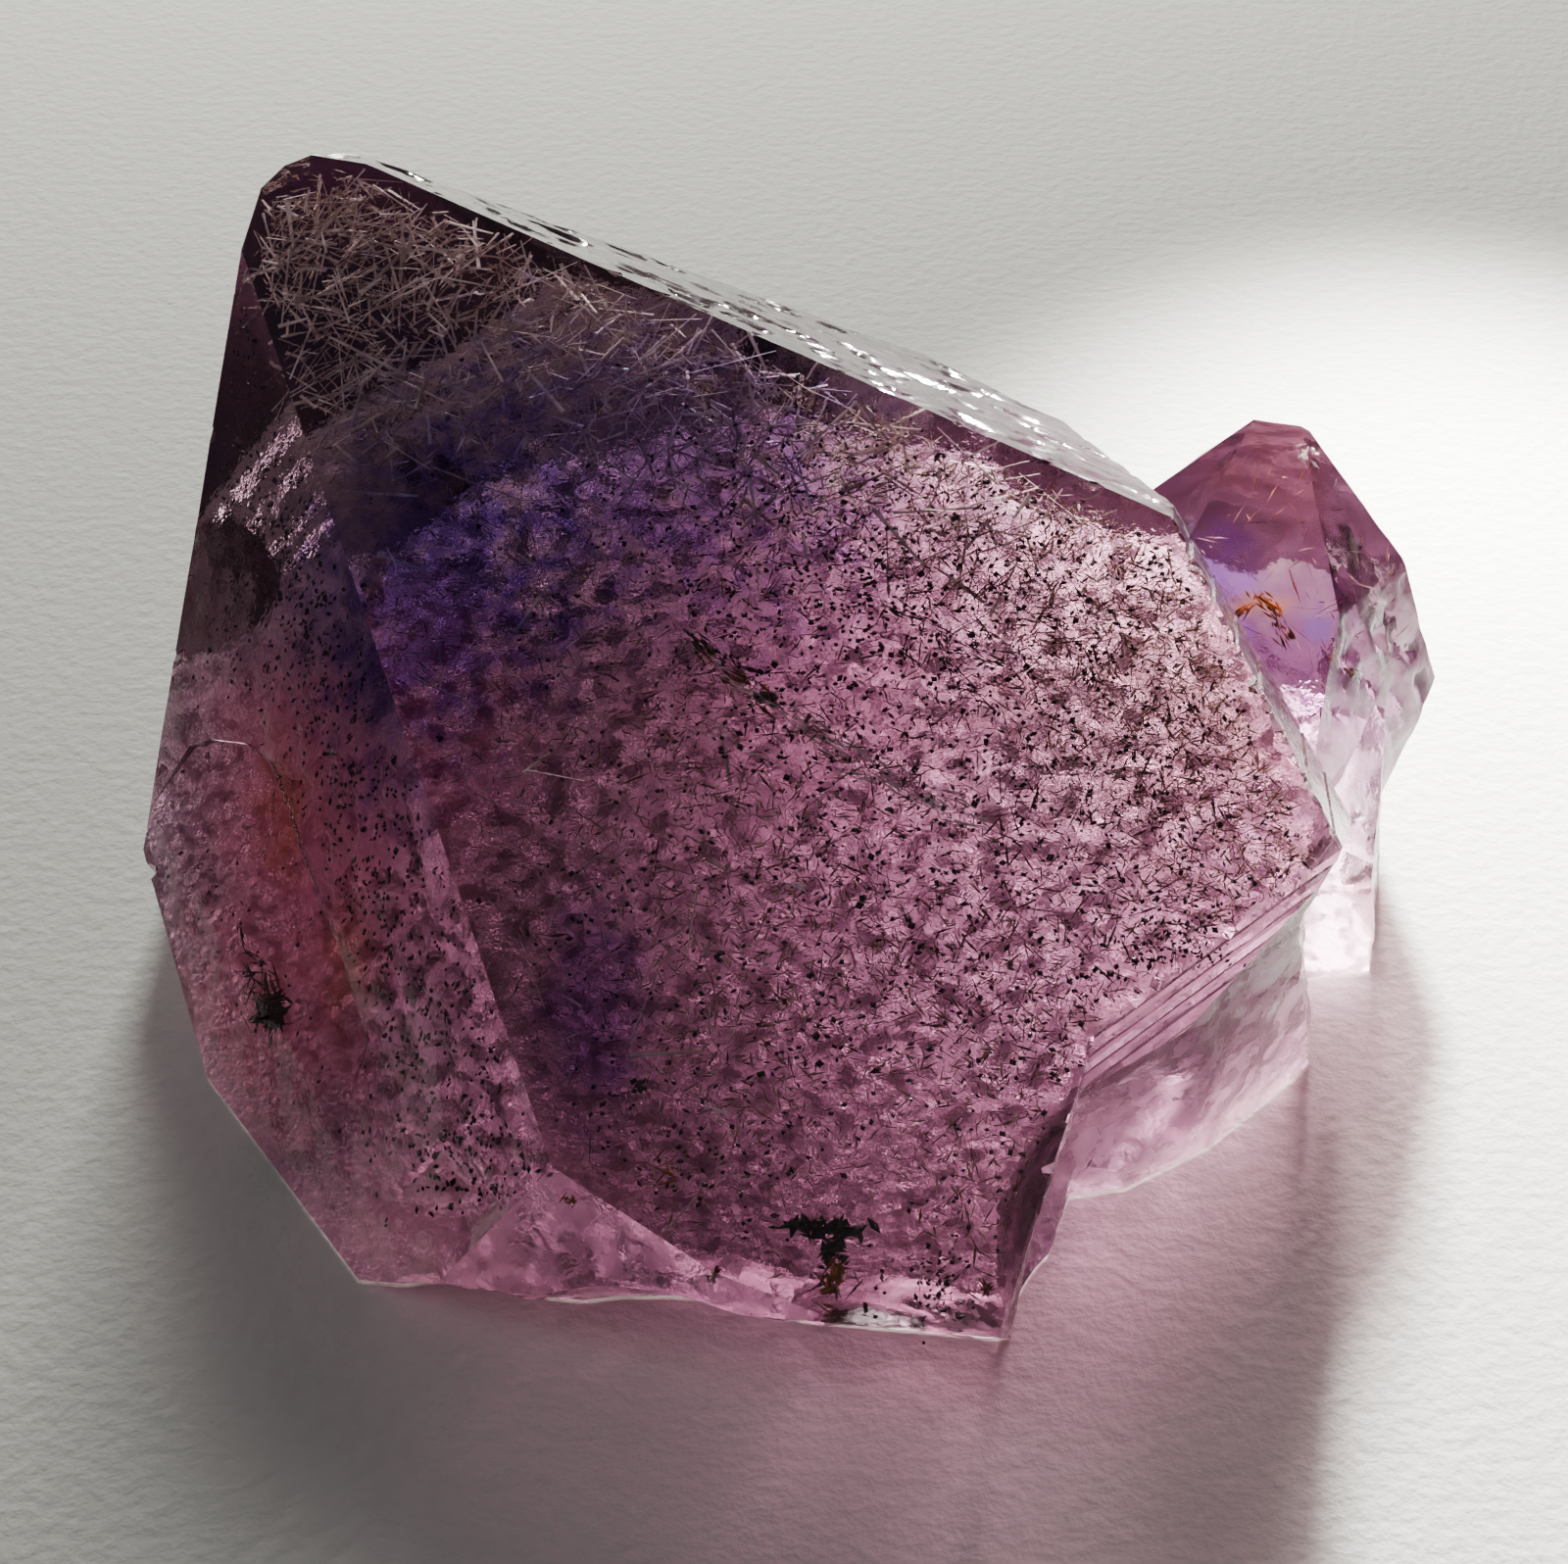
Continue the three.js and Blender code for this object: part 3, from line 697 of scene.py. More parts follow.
def ramp(tree, value, low, high, floor=0.0, top=1.0):
    """A smooth rise of a value from low to high."""
    node = add_node(tree, "ShaderNodeMapRange", {"interpolation_type": "SMOOTHSTEP"},
                    _0=value, _1=low, _2=high, _3=floor, _4=top)
    return node.outputs[0]


def new_group(name, ins, outs):
    """An empty node group with named sockets; returns its tree, its inputs and its output node."""
    tree = bpy.data.node_groups.new(name, "ShaderNodeTree")
    for socket, kind, value in ins:
        made = tree.interface.new_socket(socket, in_out="INPUT", socket_type=kind)
        if value is not None:
            made.default_value = value
    for socket, kind in outs:
        tree.interface.new_socket(socket, in_out="OUTPUT", socket_type=kind)
    return tree, tree.nodes.new("NodeGroupInput").outputs, tree.nodes.new("NodeGroupOutput").inputs


VECTOR, NUMBER, COLOUR = "NodeSocketVector", "NodeSocketFloat", "NodeSocketColor"

# %% [markdown]
# A colour zone in quartz is a cloud with no hard edge. The group Cloud gives the share of
# such a cloud: 1 at its centre and 0 at its radii, with an edge that noise frays.

# %% Group: cloud
cloud_tree, given, result = new_group(
    "Cloud", [("Place", VECTOR, None), ("Centre", VECTOR, None), ("Radii", VECTOR, (5, 5, 5)),
              ("Noise", NUMBER, 0.5), ("Fray", NUMBER, 0.3), ("Strength", NUMBER, 1.0)],
    [("Share", NUMBER)])
offset = add_node(cloud_tree, "ShaderNodeVectorMath", {"operation": "SUBTRACT"},
                  _0=given["Place"], _1=given["Centre"]).outputs[0]
scaled = add_node(cloud_tree, "ShaderNodeVectorMath", {"operation": "DIVIDE"},
                  _0=offset, _1=given["Radii"]).outputs[0]
distance = add_node(cloud_tree, "ShaderNodeVectorMath", {"operation": "LENGTH"}, _0=scaled).outputs[1]
fray = sums(cloud_tree, "SUBTRACT", given["Noise"], 0.5)
fray = sums(cloud_tree, "MULTIPLY", fray, given["Fray"])
share = ramp(cloud_tree, sums(cloud_tree, "ADD", distance, fray), 1.0, 0.2)
cloud_tree.links.new(sums(cloud_tree, "MULTIPLY", share, given["Strength"]), result["Share"])
print("group", cloud_tree.name)

# %% [markdown]
# The colour of the whole stone is one group too, because the grown faces and the breaks
# are the same quartz. The clouds are laid over each other in the order of their table:
# the pale root and foot, the violet heart, the nearly black tip. Three clouds on the left
# are painted light: they are made far lighter than that quartz is. The two faces in front
# then get a paler outer layer, and the stains lie over it as films, because a film just
# under the surface is what tints the light most.

# %% Group: quartz colour
CLOUDS = (
    # name, colour, centre, radii, fray, strength
    ("pink right", (0.060, 0.034, 0.030), (13, -1, 9), (12, 14, 12), 1.0, 0.9),
    ("pale foot", (0.68, 0.54, 0.52), (6, -19, 5), (9, 9, 6), 0.8, 0.95),
    ("beige right", (0.030, 0.018, 0.015), (11, 8, 1), (11, 11, 8), 0.9, 0.92),
    ("pale root", (0.96, 0.90, 0.86), (16, -8, 2), (8.5, 7.5, 7), 0.6, 1.0),
    ("clear column", (0.98, 0.96, 0.93), (21, 1, 3), (5, 6, 6.5), 0.4, 1.0),
    ("side pink", (0.88, 0.64, 0.76), (19, 7, 12), (6, 8, 8), 0.6, 0.9),
    # painted light: the left part's own red colour and its paler foot, made far lighter on and under the
    # left face, stand in for light that the stone would focus onto its hidden base there
    ("left red and painted light", (0.80, 0.36, 0.40), (-16, -3, 5), (9, 12, 9), 0.8, 0.8),
    ("pale left foot and painted light", (0.92, 0.66, 0.70), (-11, -15, 2), (9, 8, 6), 0.8, 0.8),
    ("violet heart", (0.085, 0.028, 0.20), (-11, 7, 13), (9, 13, 9), 1.3, 0.9),
    ("violet deep", (0.055, 0.018, 0.15), (-9, 17, 2), (10, 11, 10), 1.3, 0.9),
    ("violet far", (0.13, 0.05, 0.25), (0, 15, 5), (8, 8, 10), 1.3, 0.7),
    # painted glow: a light patch on the hidden base under the left face, standing in for light that the
    # stone would focus down there
    ("left painted glow", (0.72, 0.29, 0.40), (-13.5, 8, 0), (7, 13, 4.5), 0.8, 0.92),
    ("dark back", (0.030, 0.010, 0.016), (-17, 23, 9), (10, 7.5, 14), 0.9, 0.95),
    ("dark left", (0.05, 0.008, 0.014), (-23, 11, 14), (3.2, 9, 9), 0.7, 0.95),
    ("waxy tip", (0.34, 0.27, 0.25), (-20, 22, 20), (5, 5, 4), 0.8, 0.8),
    ("red left", (0.28, 0.07, 0.11), (-18.5, 3.5, 9), (4, 6, 5), 1.2, 0.75),
)
STAINS = (  # thin films in and under the surface, laid over the rest
    ("left rose", (0.60, 0.26, 0.33), (-17, -4, 8), (9, 14, 11), 0.9, 0.6),
    ("rose film", (0.34, 0.15, 0.22), (1, 1, 13.5), (13, 13, 7), 1.2, 0.55),
    ("brown film", (0.22, 0.13, 0.11), (14, -1, 12), (12, 15, 9), 1.0, 0.8),
    ("violet mist", (0.17, 0.07, 0.50), (-4.5, 8, 16), (11, 10, 7), 1.5, 0.7),
    ("violet film", (0.05, 0.018, 0.30), (-12, 3, 14.5), (7, 15, 8), 1.3, 0.9),
    ("maroon left", (0.13, 0.028, 0.035), (-22.5, 6, 12), (3, 8, 6), 0.9, 0.85),
    ("side film", (0.22, 0.06, 0.25), (18.2, 5.5, 9.5), (6, 4, 6.5), 0.8, 0.85),
    ("rust one", (0.50, 0.23, 0.08), (-17.5, -1.5, 8), (2.2, 4.5, 3), 1.5, 0.75),
    ("rust two", (0.50, 0.25, 0.09), (-14.5, -7.5, 6), (3.0, 3, 2.5), 1.5, 0.65),
    ("rust three", (0.52, 0.27, 0.10), (-11.3, -12.2, 4.5), (1.6, 1.6, 2.0), 1.4, 0.6),
    ("violet left", (0.18, 0.07, 0.50), (-22, 0.5, 8.5), (2.6, 4, 4), 0.9, 0.85),
    ("violet edge", (0.13, 0.055, 0.34), (-6, -13, 8.5), (2.6, 7, 4), 1.2, 0.8),
    ("side violet", (0.34, 0.13, 1.00), (15.4, 5.6, 12.9), (2.6, 3.6, 2.8), 1.0, 0.9),
    ("side blue", (0.16, 0.10, 0.55), (18.9, 5.4, 11.2), (0.9, 0.9, 1.0), 0.9, 0.7),
    ("side streak", (0.62, 0.26, 0.10), (16.8, 6.1, 11.5), (1.9, 0.7, 0.6), 1.2, 0.8),
    ("side rust", (0.66, 0.30, 0.24), (17.8, 8.5, 15.5), (3.4, 5, 2.8), 1.2, 0.5),
    ("root rose", (0.66, 0.30, 0.52), (13.1, -11.7, 2.5), (1.4, 1.4, 1.6), 0.9, 0.7),
)
QUARTZ = (0.21, 0.125, 0.175, 1.0)
WINDOW = (0.80, 0.62, 0.70, 1.0)  # the thin outer layer of the two faces in front
WINDOW_DEPTH = 1.0  # mm
WINDOW_SHARE = 0.62
MOTTLED = (0.15, 0.08, 0.125, 1.0)  # the darker patches of the quartz
SCATTERED = (0.93, 0.86, 0.90, 1.0)  # what a torn surface scatters
colour_tree, given, result = new_group(
    "Quartz colour",
    [("Place", VECTOR, None), ("Mottle", NUMBER, 0.5), ("Paleness", NUMBER, 0.0)],
    [("Colour", COLOUR)])
noise = grain(colour_tree, given["Place"], 0.38, 2.0, 0.6)
mottle = ramp(colour_tree, noise, 0.3, 0.7)
mottle = sums(colour_tree, "MULTIPLY", mottle, given["Mottle"])
colour = blend_colour(colour_tree, mottle, QUARTZ, MOTTLED)


def lay_clouds(under, clouds, noise):
    """Each cloud blended over the colour so far, the later ones over the earlier ones."""
    for name, tint, centre, radii, fray, strength in clouds:
        cloud = add_node(colour_tree, "ShaderNodeGroup", {"node_tree": cloud_tree, "label": name},
                         Place=given["Place"], Centre=centre, Radii=radii, Noise=noise, Fray=fray,
                         Strength=strength)
        under = blend_colour(colour_tree, cloud.outputs["Share"], under, (*tint, 1.0))
    return under


colour = lay_clouds(colour, CLOUDS, noise)
for face in (LARGE, LEFT):
    out = add_node(colour_tree, "ShaderNodeVectorMath", {"operation": "DOT_PRODUCT"},
                   _0=given["Place"], _1=face["normal"]).outputs[1]
    near = ramp(colour_tree, out, face["distance"] - WINDOW_DEPTH, face["distance"], 0.0,
                WINDOW_SHARE)
    colour = blend_colour(colour_tree, near, colour, WINDOW)
colour = lay_clouds(colour, STAINS, grain(colour_tree, given["Place"], 0.9, 2.0, 0.6))
colour = blend_colour(colour_tree, given["Paleness"], colour, SCATTERED)
colour_tree.links.new(colour, result["Colour"])
print("group", colour_tree.name, "with", len(CLOUDS), "clouds and", len(STAINS), "stains")

# %% [markdown]
# ## Finish: clear quartz
#
# Quartz bends light by 1.544 and swallows a little of it on the way. A share of its light
# is scattered by haze, so it isn't wholly clear. Light that falls on things inside or
# behind it has to pass its surface: for a shadow ray the surface is simply clear and
# tinted, because a true path through two bent surfaces is never found by chance. The tint
# is taken where a shadow ray meets the outside of the stone, so that things inside it are
# lit well and the shadow on the floor stays deep.

# %% Quartz materials
QUARTZ_IOR = 1.544


def in_millimetres(tree):
    """Object coordinates as millimetres."""
    place = add_node(tree, "ShaderNodeTexCoord").outputs["Object"]
    return add_node(tree, "ShaderNodeVectorMath", {"operation": "SCALE"},
                    _0=place, Scale=1.0 / MM).outputs[0]


def new_material(name):
    """A material with an empty node tree and its output node."""
    material = bpy.data.materials.new(name)
    material.use_nodes = True
    material.node_tree.nodes.clear()
    return material, material.node_tree, add_node(material.node_tree, "ShaderNodeOutputMaterial")


SHADE_ROOT = (0.34, 0.27, 0.27, 1.0)  # the light that gets into the stone at the root
SHADE_TIP = (0.11, 0.07, 0.08, 1.0)  # and at the tip
SHADE_OUT = (0.85, 0.84, 0.85, 1.0)  # the light that leaves it again
ROOT_LEVEL, TIP_LEVEL = -4.0, 22.0  # mm along the main axis
ABSORBED = (0.74, 0.65, 0.70, 1.0)
ABSORPTION = 195.0  # per metre


def quartz(name, clear, filled):
    """Quartz with a share that is clear. Roughness and paleness come from the mesh. Only the
    surface that light enters and leaves by bounds the volume: a second bounding material
    would be a second medium, which a ray that leaves by the first one never gets out of."""
    material, tree, output = new_material(name)
    place = in_millimetres(tree)
    paleness = add_node(tree, "ShaderNodeAttribute", {"attribute_name": "paleness"}).outputs["Fac"]
    smoothness = add_node(tree, "ShaderNodeAttribute", {"attribute_name": "roughness"}).outputs["Fac"]
    colour = add_node(tree, "ShaderNodeGroup", {"node_tree": colour_tree}, Place=place,
                      Mottle=0.5, Paleness=paleness).outputs["Colour"]
    uneven = ramp(tree, grain(tree, place, 1.1, 2.0), 0.35, 0.7, 0.7, 2.2)
    roughness = sums(tree, "MULTIPLY", smoothness, uneven)
    height = sums(tree, "MULTIPLY", grain(tree, place, 3.0, 2.0), sums(tree, "ADD", smoothness, 0.1))
    normal = add_node(tree, "ShaderNodeBump", None, Strength=0.3, Distance=0.0004,
                      Height=height).outputs[0]
    body = add_node(tree, "ShaderNodeBsdfPrincipled", None, Base_Color=colour, Roughness=roughness,
                    IOR=QUARTZ_IOR, Transmission_Weight=clear, Normal=normal).outputs[0]
    along = add_node(tree, "ShaderNodeVectorMath", {"operation": "DOT_PRODUCT"},
                     _0=place, _1=LONG_AXIS).outputs[1]
    towards_tip = ramp(tree, along, ROOT_LEVEL, TIP_LEVEL)
    let_through = blend_colour(tree, towards_tip, SHADE_ROOT, SHADE_TIP)
    leaving = add_node(tree, "ShaderNodeNewGeometry").outputs["Backfacing"]
    let_through = blend_colour(tree, leaving, let_through, SHADE_OUT)
    passing = add_node(tree, "ShaderNodeBsdfTransparent", None, Color=let_through).outputs[0]
    shadow = add_node(tree, "ShaderNodeLightPath").outputs["Is Shadow Ray"]
    surface = add_node(tree, "ShaderNodeMixShader", None, _0=shadow, _1=body, _2=passing).outputs[0]
    tree.links.new(surface, output.inputs["Surface"])
    if filled:
        volume = add_node(tree, "ShaderNodeVolumeAbsorption", None, Color=ABSORBED,
                          Density=ABSORPTION)
        tree.links.new(volume.outputs[0], output.inputs["Volume"])
    return material


crystal.data.materials.append(quartz("amethyst quartz", 0.94, True))
crystal.data.materials.append(quartz("resting quartz", 0.25, False))
print("materials", [m.name for m in crystal.data.materials])

# %% [markdown]
# ## Inside: room for inclusions
#
# Quartz traps what lies on it while it grows. On this stone that is pale straws under the
# tip, fine brown needles and dark specks under the right half and in a band on the left
# face, some dark minerals, a veil and a crack. All of them are joined meshes with only a
# few faces each. They are scattered by a density: a point is kept where a random number
# stays under the density of its place.

# %% Where a point may lie
LARGE_OUTLINE = np.array([(-22.4, 22.6), (-22.3, 19.8), (-2.2, -16.2), (6.9, -19.9), (9.8, -19.5),
                          (11.8, -8.6), (18.4, -2.0), (12.3, 10.4), (-20.0, 24.4)])
SIDE_OUTLINE = np.array([(14.0, 4.0), (21.0, 4.0), (21.0, 19.0), (14.0, 19.0)])
LEFT_OUTLINE = np.array([(-24.0, 11.2), (12.8, -2.7), (6.8, -9.6), (-12.6, -7.2)])
# how far the six slopes and the six walls lie from the origin; 99 is a wall that isn't there
SLOPE_DISTANCES = np.array([13.6, 20.2, 28.3, 28.6, 23.43, 17.2])
WALL_DISTANCES = np.array([99.0, 20.1, 24.5, 20.5, 17.6, 99.0])
END_MARGIN = 0.03  # mm of stone past each end of a needle


def scatter_on(face, outline, density, tries, depth, seed):
    """Places under a face, kept by a density in u and v; depth is a range in millimetres."""
    rng = np.random.default_rng(seed)
    low, high = outline.min(axis=0), outline.max(axis=0)
    spot = rng.uniform(low, high, (tries, 2))
    keep = inside_outline(spot, outline, np.roll(outline, -1, axis=0))
    keep &= rng.uniform(size=tries) < density(spot[:, 0], spot[:, 1])
    spot = spot[keep]
    below = depth[0] + (depth[1] - depth[0]) * rng.uniform(size=len(spot)) ** 1.6
    return on_face(face, spot[:, 0], spot[:, 1], below)


def scatter_within(tries, margin, seed):
    """Places anywhere in the main crystal, a margin inside its planes and over the table."""
    rng = np.random.default_rng(seed)
    spot = rng.uniform([-23, -14, 1.5], [18, 25, 21], (tries, 3))
    keep = (spot @ main_slopes.T < SLOPE_DISTANCES - margin).all(axis=1)
    keep &= (spot @ main_walls.T < WALL_DISTANCES - margin).all(axis=1)
    return spot[keep]


def inside_solid(points):
    """A point is inside if a ray straight up from it leaves through an odd number of
    triangles."""
    a, b, c = (solid_corners[solid_triangles[:, k]] for k in range(3))
    twice = double_area(a, b, c)
    level = np.abs(twice) > 1e-9
    a, b, c, twice = a[level], b[level], c[level], twice[level]
    result = np.zeros(len(points), dtype=bool)
    for first in range(0, len(points), BATCH):
        x, y, z = (points[first:first + BATCH, k:k + 1] + 1e-6 for k in range(3))
        one = ((b[:, 0] - x) * (c[:, 1] - y) - (b[:, 1] - y) * (c[:, 0] - x)) / twice
        two = ((c[:, 0] - x) * (a[:, 1] - y) - (c[:, 1] - y) * (a[:, 0] - x)) / twice
        three = 1.0 - one - two
        above = one * a[:, 2] + two * b[:, 2] + three * c[:, 2] > z
        hit = (one > 0) & (two > 0) & (three > 0) & above
        result[first:first + BATCH] = hit.sum(axis=1) % 2 == 1
    return result


def kept_inside(centres, axes, sizes):
    """Only the pieces whose two ends lie inside the solid; for each a centre, axes and sizes."""
    reach = axes[0] * (sizes[0] + END_MARGIN)[:, None]
    keep = inside_solid(centres + reach) & inside_solid(centres - reach)
    return centres[keep], [axis[keep] for axis in axes], [size[keep] for size in sizes]


def blob(u, v, at_u, at_v, reach):
    """A bell of height 1 at a place of a face."""
    return np.exp(-((u - at_u) ** 2 + (v - at_v) ** 2) / reach ** 2)


print("dimpled face is slope 1:", bool(main_slopes[1] @ DIMPLED["normal"] > 0.999))

# %% [markdown]
# There are thousands of inclusions, so each is as simple as it can be: a stretched
# octahedron with eight triangles, or a blunt rod with twelve. Instances of one mesh would
# also do, but a joined mesh is the same in every program that reads the result.

# %% Small crystals
OCTAHEDRON = np.array([(0, 2, 4), (2, 1, 4), (1, 3, 4), (3, 0, 4),
                       (2, 0, 5), (1, 2, 5), (3, 1, 5), (0, 3, 5)])


def directions(count, seed, flat=None, spread=1.0):
    """Three unit vectors at right angles for each piece. With a flat normal, the first one
    keeps near that plane, and spread says how far it leaves it."""
    rng = np.random.default_rng(seed)
    first = rng.normal(size=(count, 3))
    if flat is not None:
        first -= (1 - spread) * (first @ flat)[:, None] * flat
    first = unit(first)
    second = unit(np.cross(first, rng.normal(size=(count, 3))))
    return first, second, np.cross(first, second)


def spindles(centres, axes, sizes):
    """Stretched octahedra: a centre plus and minus each of three half axes. Long ones are
    needles, even ones are specks and flat ones are blades."""
    halves = [axis * size[:, None] for axis, size in zip(axes, sizes)]
    points = np.stack([centres + sign * half for half in halves for sign in (1, -1)], axis=1)
    triangles = OCTAHEDRON[None] + 6 * np.arange(len(centres))[:, None, None]
    return points.reshape(-1, 3), triangles.reshape(-1, 3)


ROD_SIDES = 4
ring = 2 * math.pi * np.arange(ROD_SIDES) / ROD_SIDES
ROD = np.array([(0, 1, 4), (1, 2, 5), (2, 3, 6), (3, 0, 7), (1, 5, 4), (2, 6, 5), (3, 7, 6),
                (0, 4, 7), (0, 2, 1), (0, 3, 2), (4, 5, 6), (4, 6, 7)])


def rods(centres, axes, sizes):
    """Blunt four-sided rods with a slight taper."""
    along, across, third = axes
    length, wide, thick = sizes
    circle = (np.cos(ring)[None, :, None] * (across * wide[:, None])[:, None, :]
              + np.sin(ring)[None, :, None] * (third * thick[:, None])[:, None, :])
    tail = centres[:, None, :] - (along * length[:, None])[:, None, :] + circle
    head = centres[:, None, :] + (along * length[:, None])[:, None, :] + 0.6 * circle
    points = np.concatenate([tail, head], axis=1)
    triangles = ROD[None] + 2 * ROD_SIDES * np.arange(len(centres))[:, None, None]
    return points.reshape(-1, 3), triangles.reshape(-1, 3)


def joined(*parts):
    """Several sets of points and triangles as one."""
    starts = np.cumsum([0] + [len(points) for points, _ in parts[:-1]])
    return (np.concatenate([points for points, _ in parts]),
            np.concatenate([triangles + start for (_, triangles), start in zip(parts, starts)]))


def draw_sizes(count, seed, long, wide, thick):
    """Half lengths along the three axes, each drawn from its own range, mostly small."""
    rng = np.random.default_rng(seed)
    return [low + (high - low) * rng.uniform(size=count) ** 1.8 for low, high in (long, wide, thick)]


# %% [markdown]
# The straws lie in a tangle under the tip, most of them near the level of the face, and
# thin out across the violet heart.

# %% Straws
def straw_density(u, v):
    """Dense under the upper left of the large face, where v is over about 12, and thinner
    along its upper edge and down over the violet heart."""
    corner = smooth_step((v - 9.0 - 0.15 * (u + 12)) / 6) * smooth_step((3.5 - u) / 9)
    ridge = 0.5 * smooth_step((v - 8.5 + 0.45 * u) / 4) * smooth_step((11 - u) / 5)
    return np.clip(corner + ridge + 0.03 * smooth_step((4 - u) / 6), 0, 1)


centres = scatter_on(LARGE, LARGE_OUTLINE, straw_density, 17000, (0.06, 2.0), 21)
axes = directions(len(centres), 22, LARGE["normal"], 0.35)
straw_sizes = draw_sizes(len(centres), 23, (0.3, 1.8), (0.035, 0.10), (0.015, 0.035))
straws = make_mesh("straws", *rods(*kept_inside(centres, axes, straw_sizes)))

# %% [markdown]
# Brown needles fill the right half under the large face, most of them near the edge where
# the stone was broken off its neighbour. Sparse ones lie through the whole stone.

# %% Needles
def needle_density(u, v):
    """Grows towards the right edge of the large face; the pale foot stays nearly free."""
    right = smooth_step((u + 7 + 0.25 * v) / 22)
    foot = 1 - 0.9 * blob(u, v, 6, -17, 6.5)
    return (0.05 + 0.85 * right) * foot


near = scatter_on(LARGE, LARGE_OUTLINE, needle_density, 21000, (0.06, 1.6), 31)
side = [scatter_on(face, SIDE_OUTLINE, lambda u, v: 0.6, 500, (0.05, 1.2), 30)
        for face in (SIDE_SLOPE, SIDE_WALL)]
deep = scatter_within(2500, 2.0, 32)
centres = np.concatenate([near, deep, *side])
axes = directions(len(centres), 33, LARGE["normal"], 0.5)
needle_sizes = draw_sizes(len(centres), 34, (0.14, 0.75), (0.018, 0.050), (0.014, 0.030))
needles = make_mesh("needles", *spindles(*kept_inside(centres, axes, needle_sizes)))

# %% [markdown]
# Between them lies a felt of finer beige fibres. It is thick along the right edge and under
# the lower half, below the crack, and thin where the violet shines through. Real fibres
# are used and not a cloudy sheet, so that it looks right from every side.

# %% Felt
def felt_density(u, v):
    """Thick near the right edge and below the crack; the violet window stays thin."""
    edge = smooth_step((u - 7 + 0.25 * v) / 10)
    below = smooth_step((3.2 - 0.55 * (u + 3) - v) / 4) * smooth_step((u + 9 + 0.4 * v) / 7)
    ridge = smooth_step((v - 6 + 0.5 * u) / 5) * smooth_step((u + 6) / 8)
    foot = 1 - 0.95 * blob(u, v, 6, -17.5, 6.0)
    tip = blob(u, v, -20.6, 22.8, 2.6)
    veil = np.exp(-((v - 2.3 + 0.56 * u) / 0.45) ** 2)
    veil = veil * smooth_step((u + 4.5) / 2) * smooth_step((8.6 - u) / 2)
    return np.clip(0.10 + 0.9 * edge + 0.5 * below + 0.5 * ridge + tip + veil, 0, 1) * foot


centres = scatter_on(LARGE, LARGE_OUTLINE, felt_density, 56000, (0.25, 2.6), 36)
axes = directions(len(centres), 37, LARGE["normal"], 0.5)
felt_sizes = draw_sizes(len(centres), 38, (0.12, 0.5), (0.02, 0.055), (0.012, 0.03))
felt = make_mesh("felt", *spindles(*kept_inside(centres, axes, felt_sizes)))

# %% [markdown]
# Dark specks lie just under the surface, evenly under the right half of the large face, in
# a band down the left face, and thinly through the rest of the stone.

# %% Specks
def speck_density(u, v):
    """Even over the right half of the large face, with more round some centres."""
    right = smooth_step((u + 10) / 14)
    return 0.5 * right * (1 - 0.8 * blob(u, v, 6, -17, 6)) + 0.5 * blob(u, v, 3, 8, 6)


def band_density(u, v):
    """A band down the left face beside its upper edge, and a thin scatter over the rest."""
    middle = 4.9 - 0.42 * (u + 8)
    return np.exp(-((v - middle + 2.4) / 2.3) ** 2) + 0.10


right_half = scatter_on(LARGE, LARGE_OUTLINE, speck_density, 15000, (0.05, 0.9), 41)
band = scatter_on(LEFT, LEFT_OUTLINE, band_density, 6500, (0.05, 0.4), 42)
deep = scatter_within(900, 2.0, 43)
centres = np.concatenate([right_half, band, deep])
speck_sizes = draw_sizes(len(centres), 44, (0.075, 0.19), (0.07, 0.16), (0.05, 0.11))
axes = directions(len(centres), 45)
specks = make_mesh("specks", *spindles(*kept_inside(centres, axes, speck_sizes)))

# %% [markdown]
# The dark minerals are clumps of blades that share a centre, each with its own spread.

# %% Dark minerals
def clump(face, u, v, depth, count, long, wide, thick, spread, seed, lean=None):
    """Blades about one place of a face; lean stretches the clump along the face's u and v."""
    rng = np.random.default_rng(seed)
    away = rng.normal(size=(count, 3)) * spread
    along, up = face_directions(face["normal"])
    if lean is not None:
        level = away[:, 0:1] * lean[0] * along + away[:, 1:2] * lean[1] * up
        away = level + 0.3 * away[:, 2:3] * face["normal"]
    centres = on_face(face, u, v, depth) + away
    axes = directions(count, seed + 1, face["normal"], 0.5)
    return spindles(centres, axes, draw_sizes(count, seed + 2, long, wide, thick))


def vein(face, line, depth, count, long, wide, thick, spread, seed):
    """Blades strung along a line of a face, which mostly point along it. The line is a row of
    u and v."""
    follow = 0.8  # share of the line's own direction in that of a blade
    rng = np.random.default_rng(seed)
    line = np.array(line, dtype=float)
    stops = np.linspace(0, 1, len(line))
    at = rng.uniform(size=count)
    u, v = np.interp(at, stops, line[:, 0]), np.interp(at, stops, line[:, 1])
    ahead = np.minimum(at + 0.02, 1.0)
    behind = np.maximum(at - 0.02, 0.0)
    heading = on_face(face, np.interp(ahead, stops, line[:, 0]), np.interp(ahead, stops, line[:, 1]))
    heading -= on_face(face, np.interp(behind, stops, line[:, 0]), np.interp(behind, stops, line[:, 1]))
    heading = unit(heading)
    centres = on_face(face, u, v, depth) + rng.normal(size=(count, 3)) * spread
    loose = directions(count, seed + 1, face["normal"], 0.3)[0]
    first = unit(follow * heading + (1 - follow) * loose)
    second = unit(np.cross(first, face["normal"] + 0.5 * rng.normal(size=(count, 3))))
    axes = (first, second, np.cross(first, second))
    return spindles(centres, axes, draw_sizes(count, seed + 2, long, wide, thick))


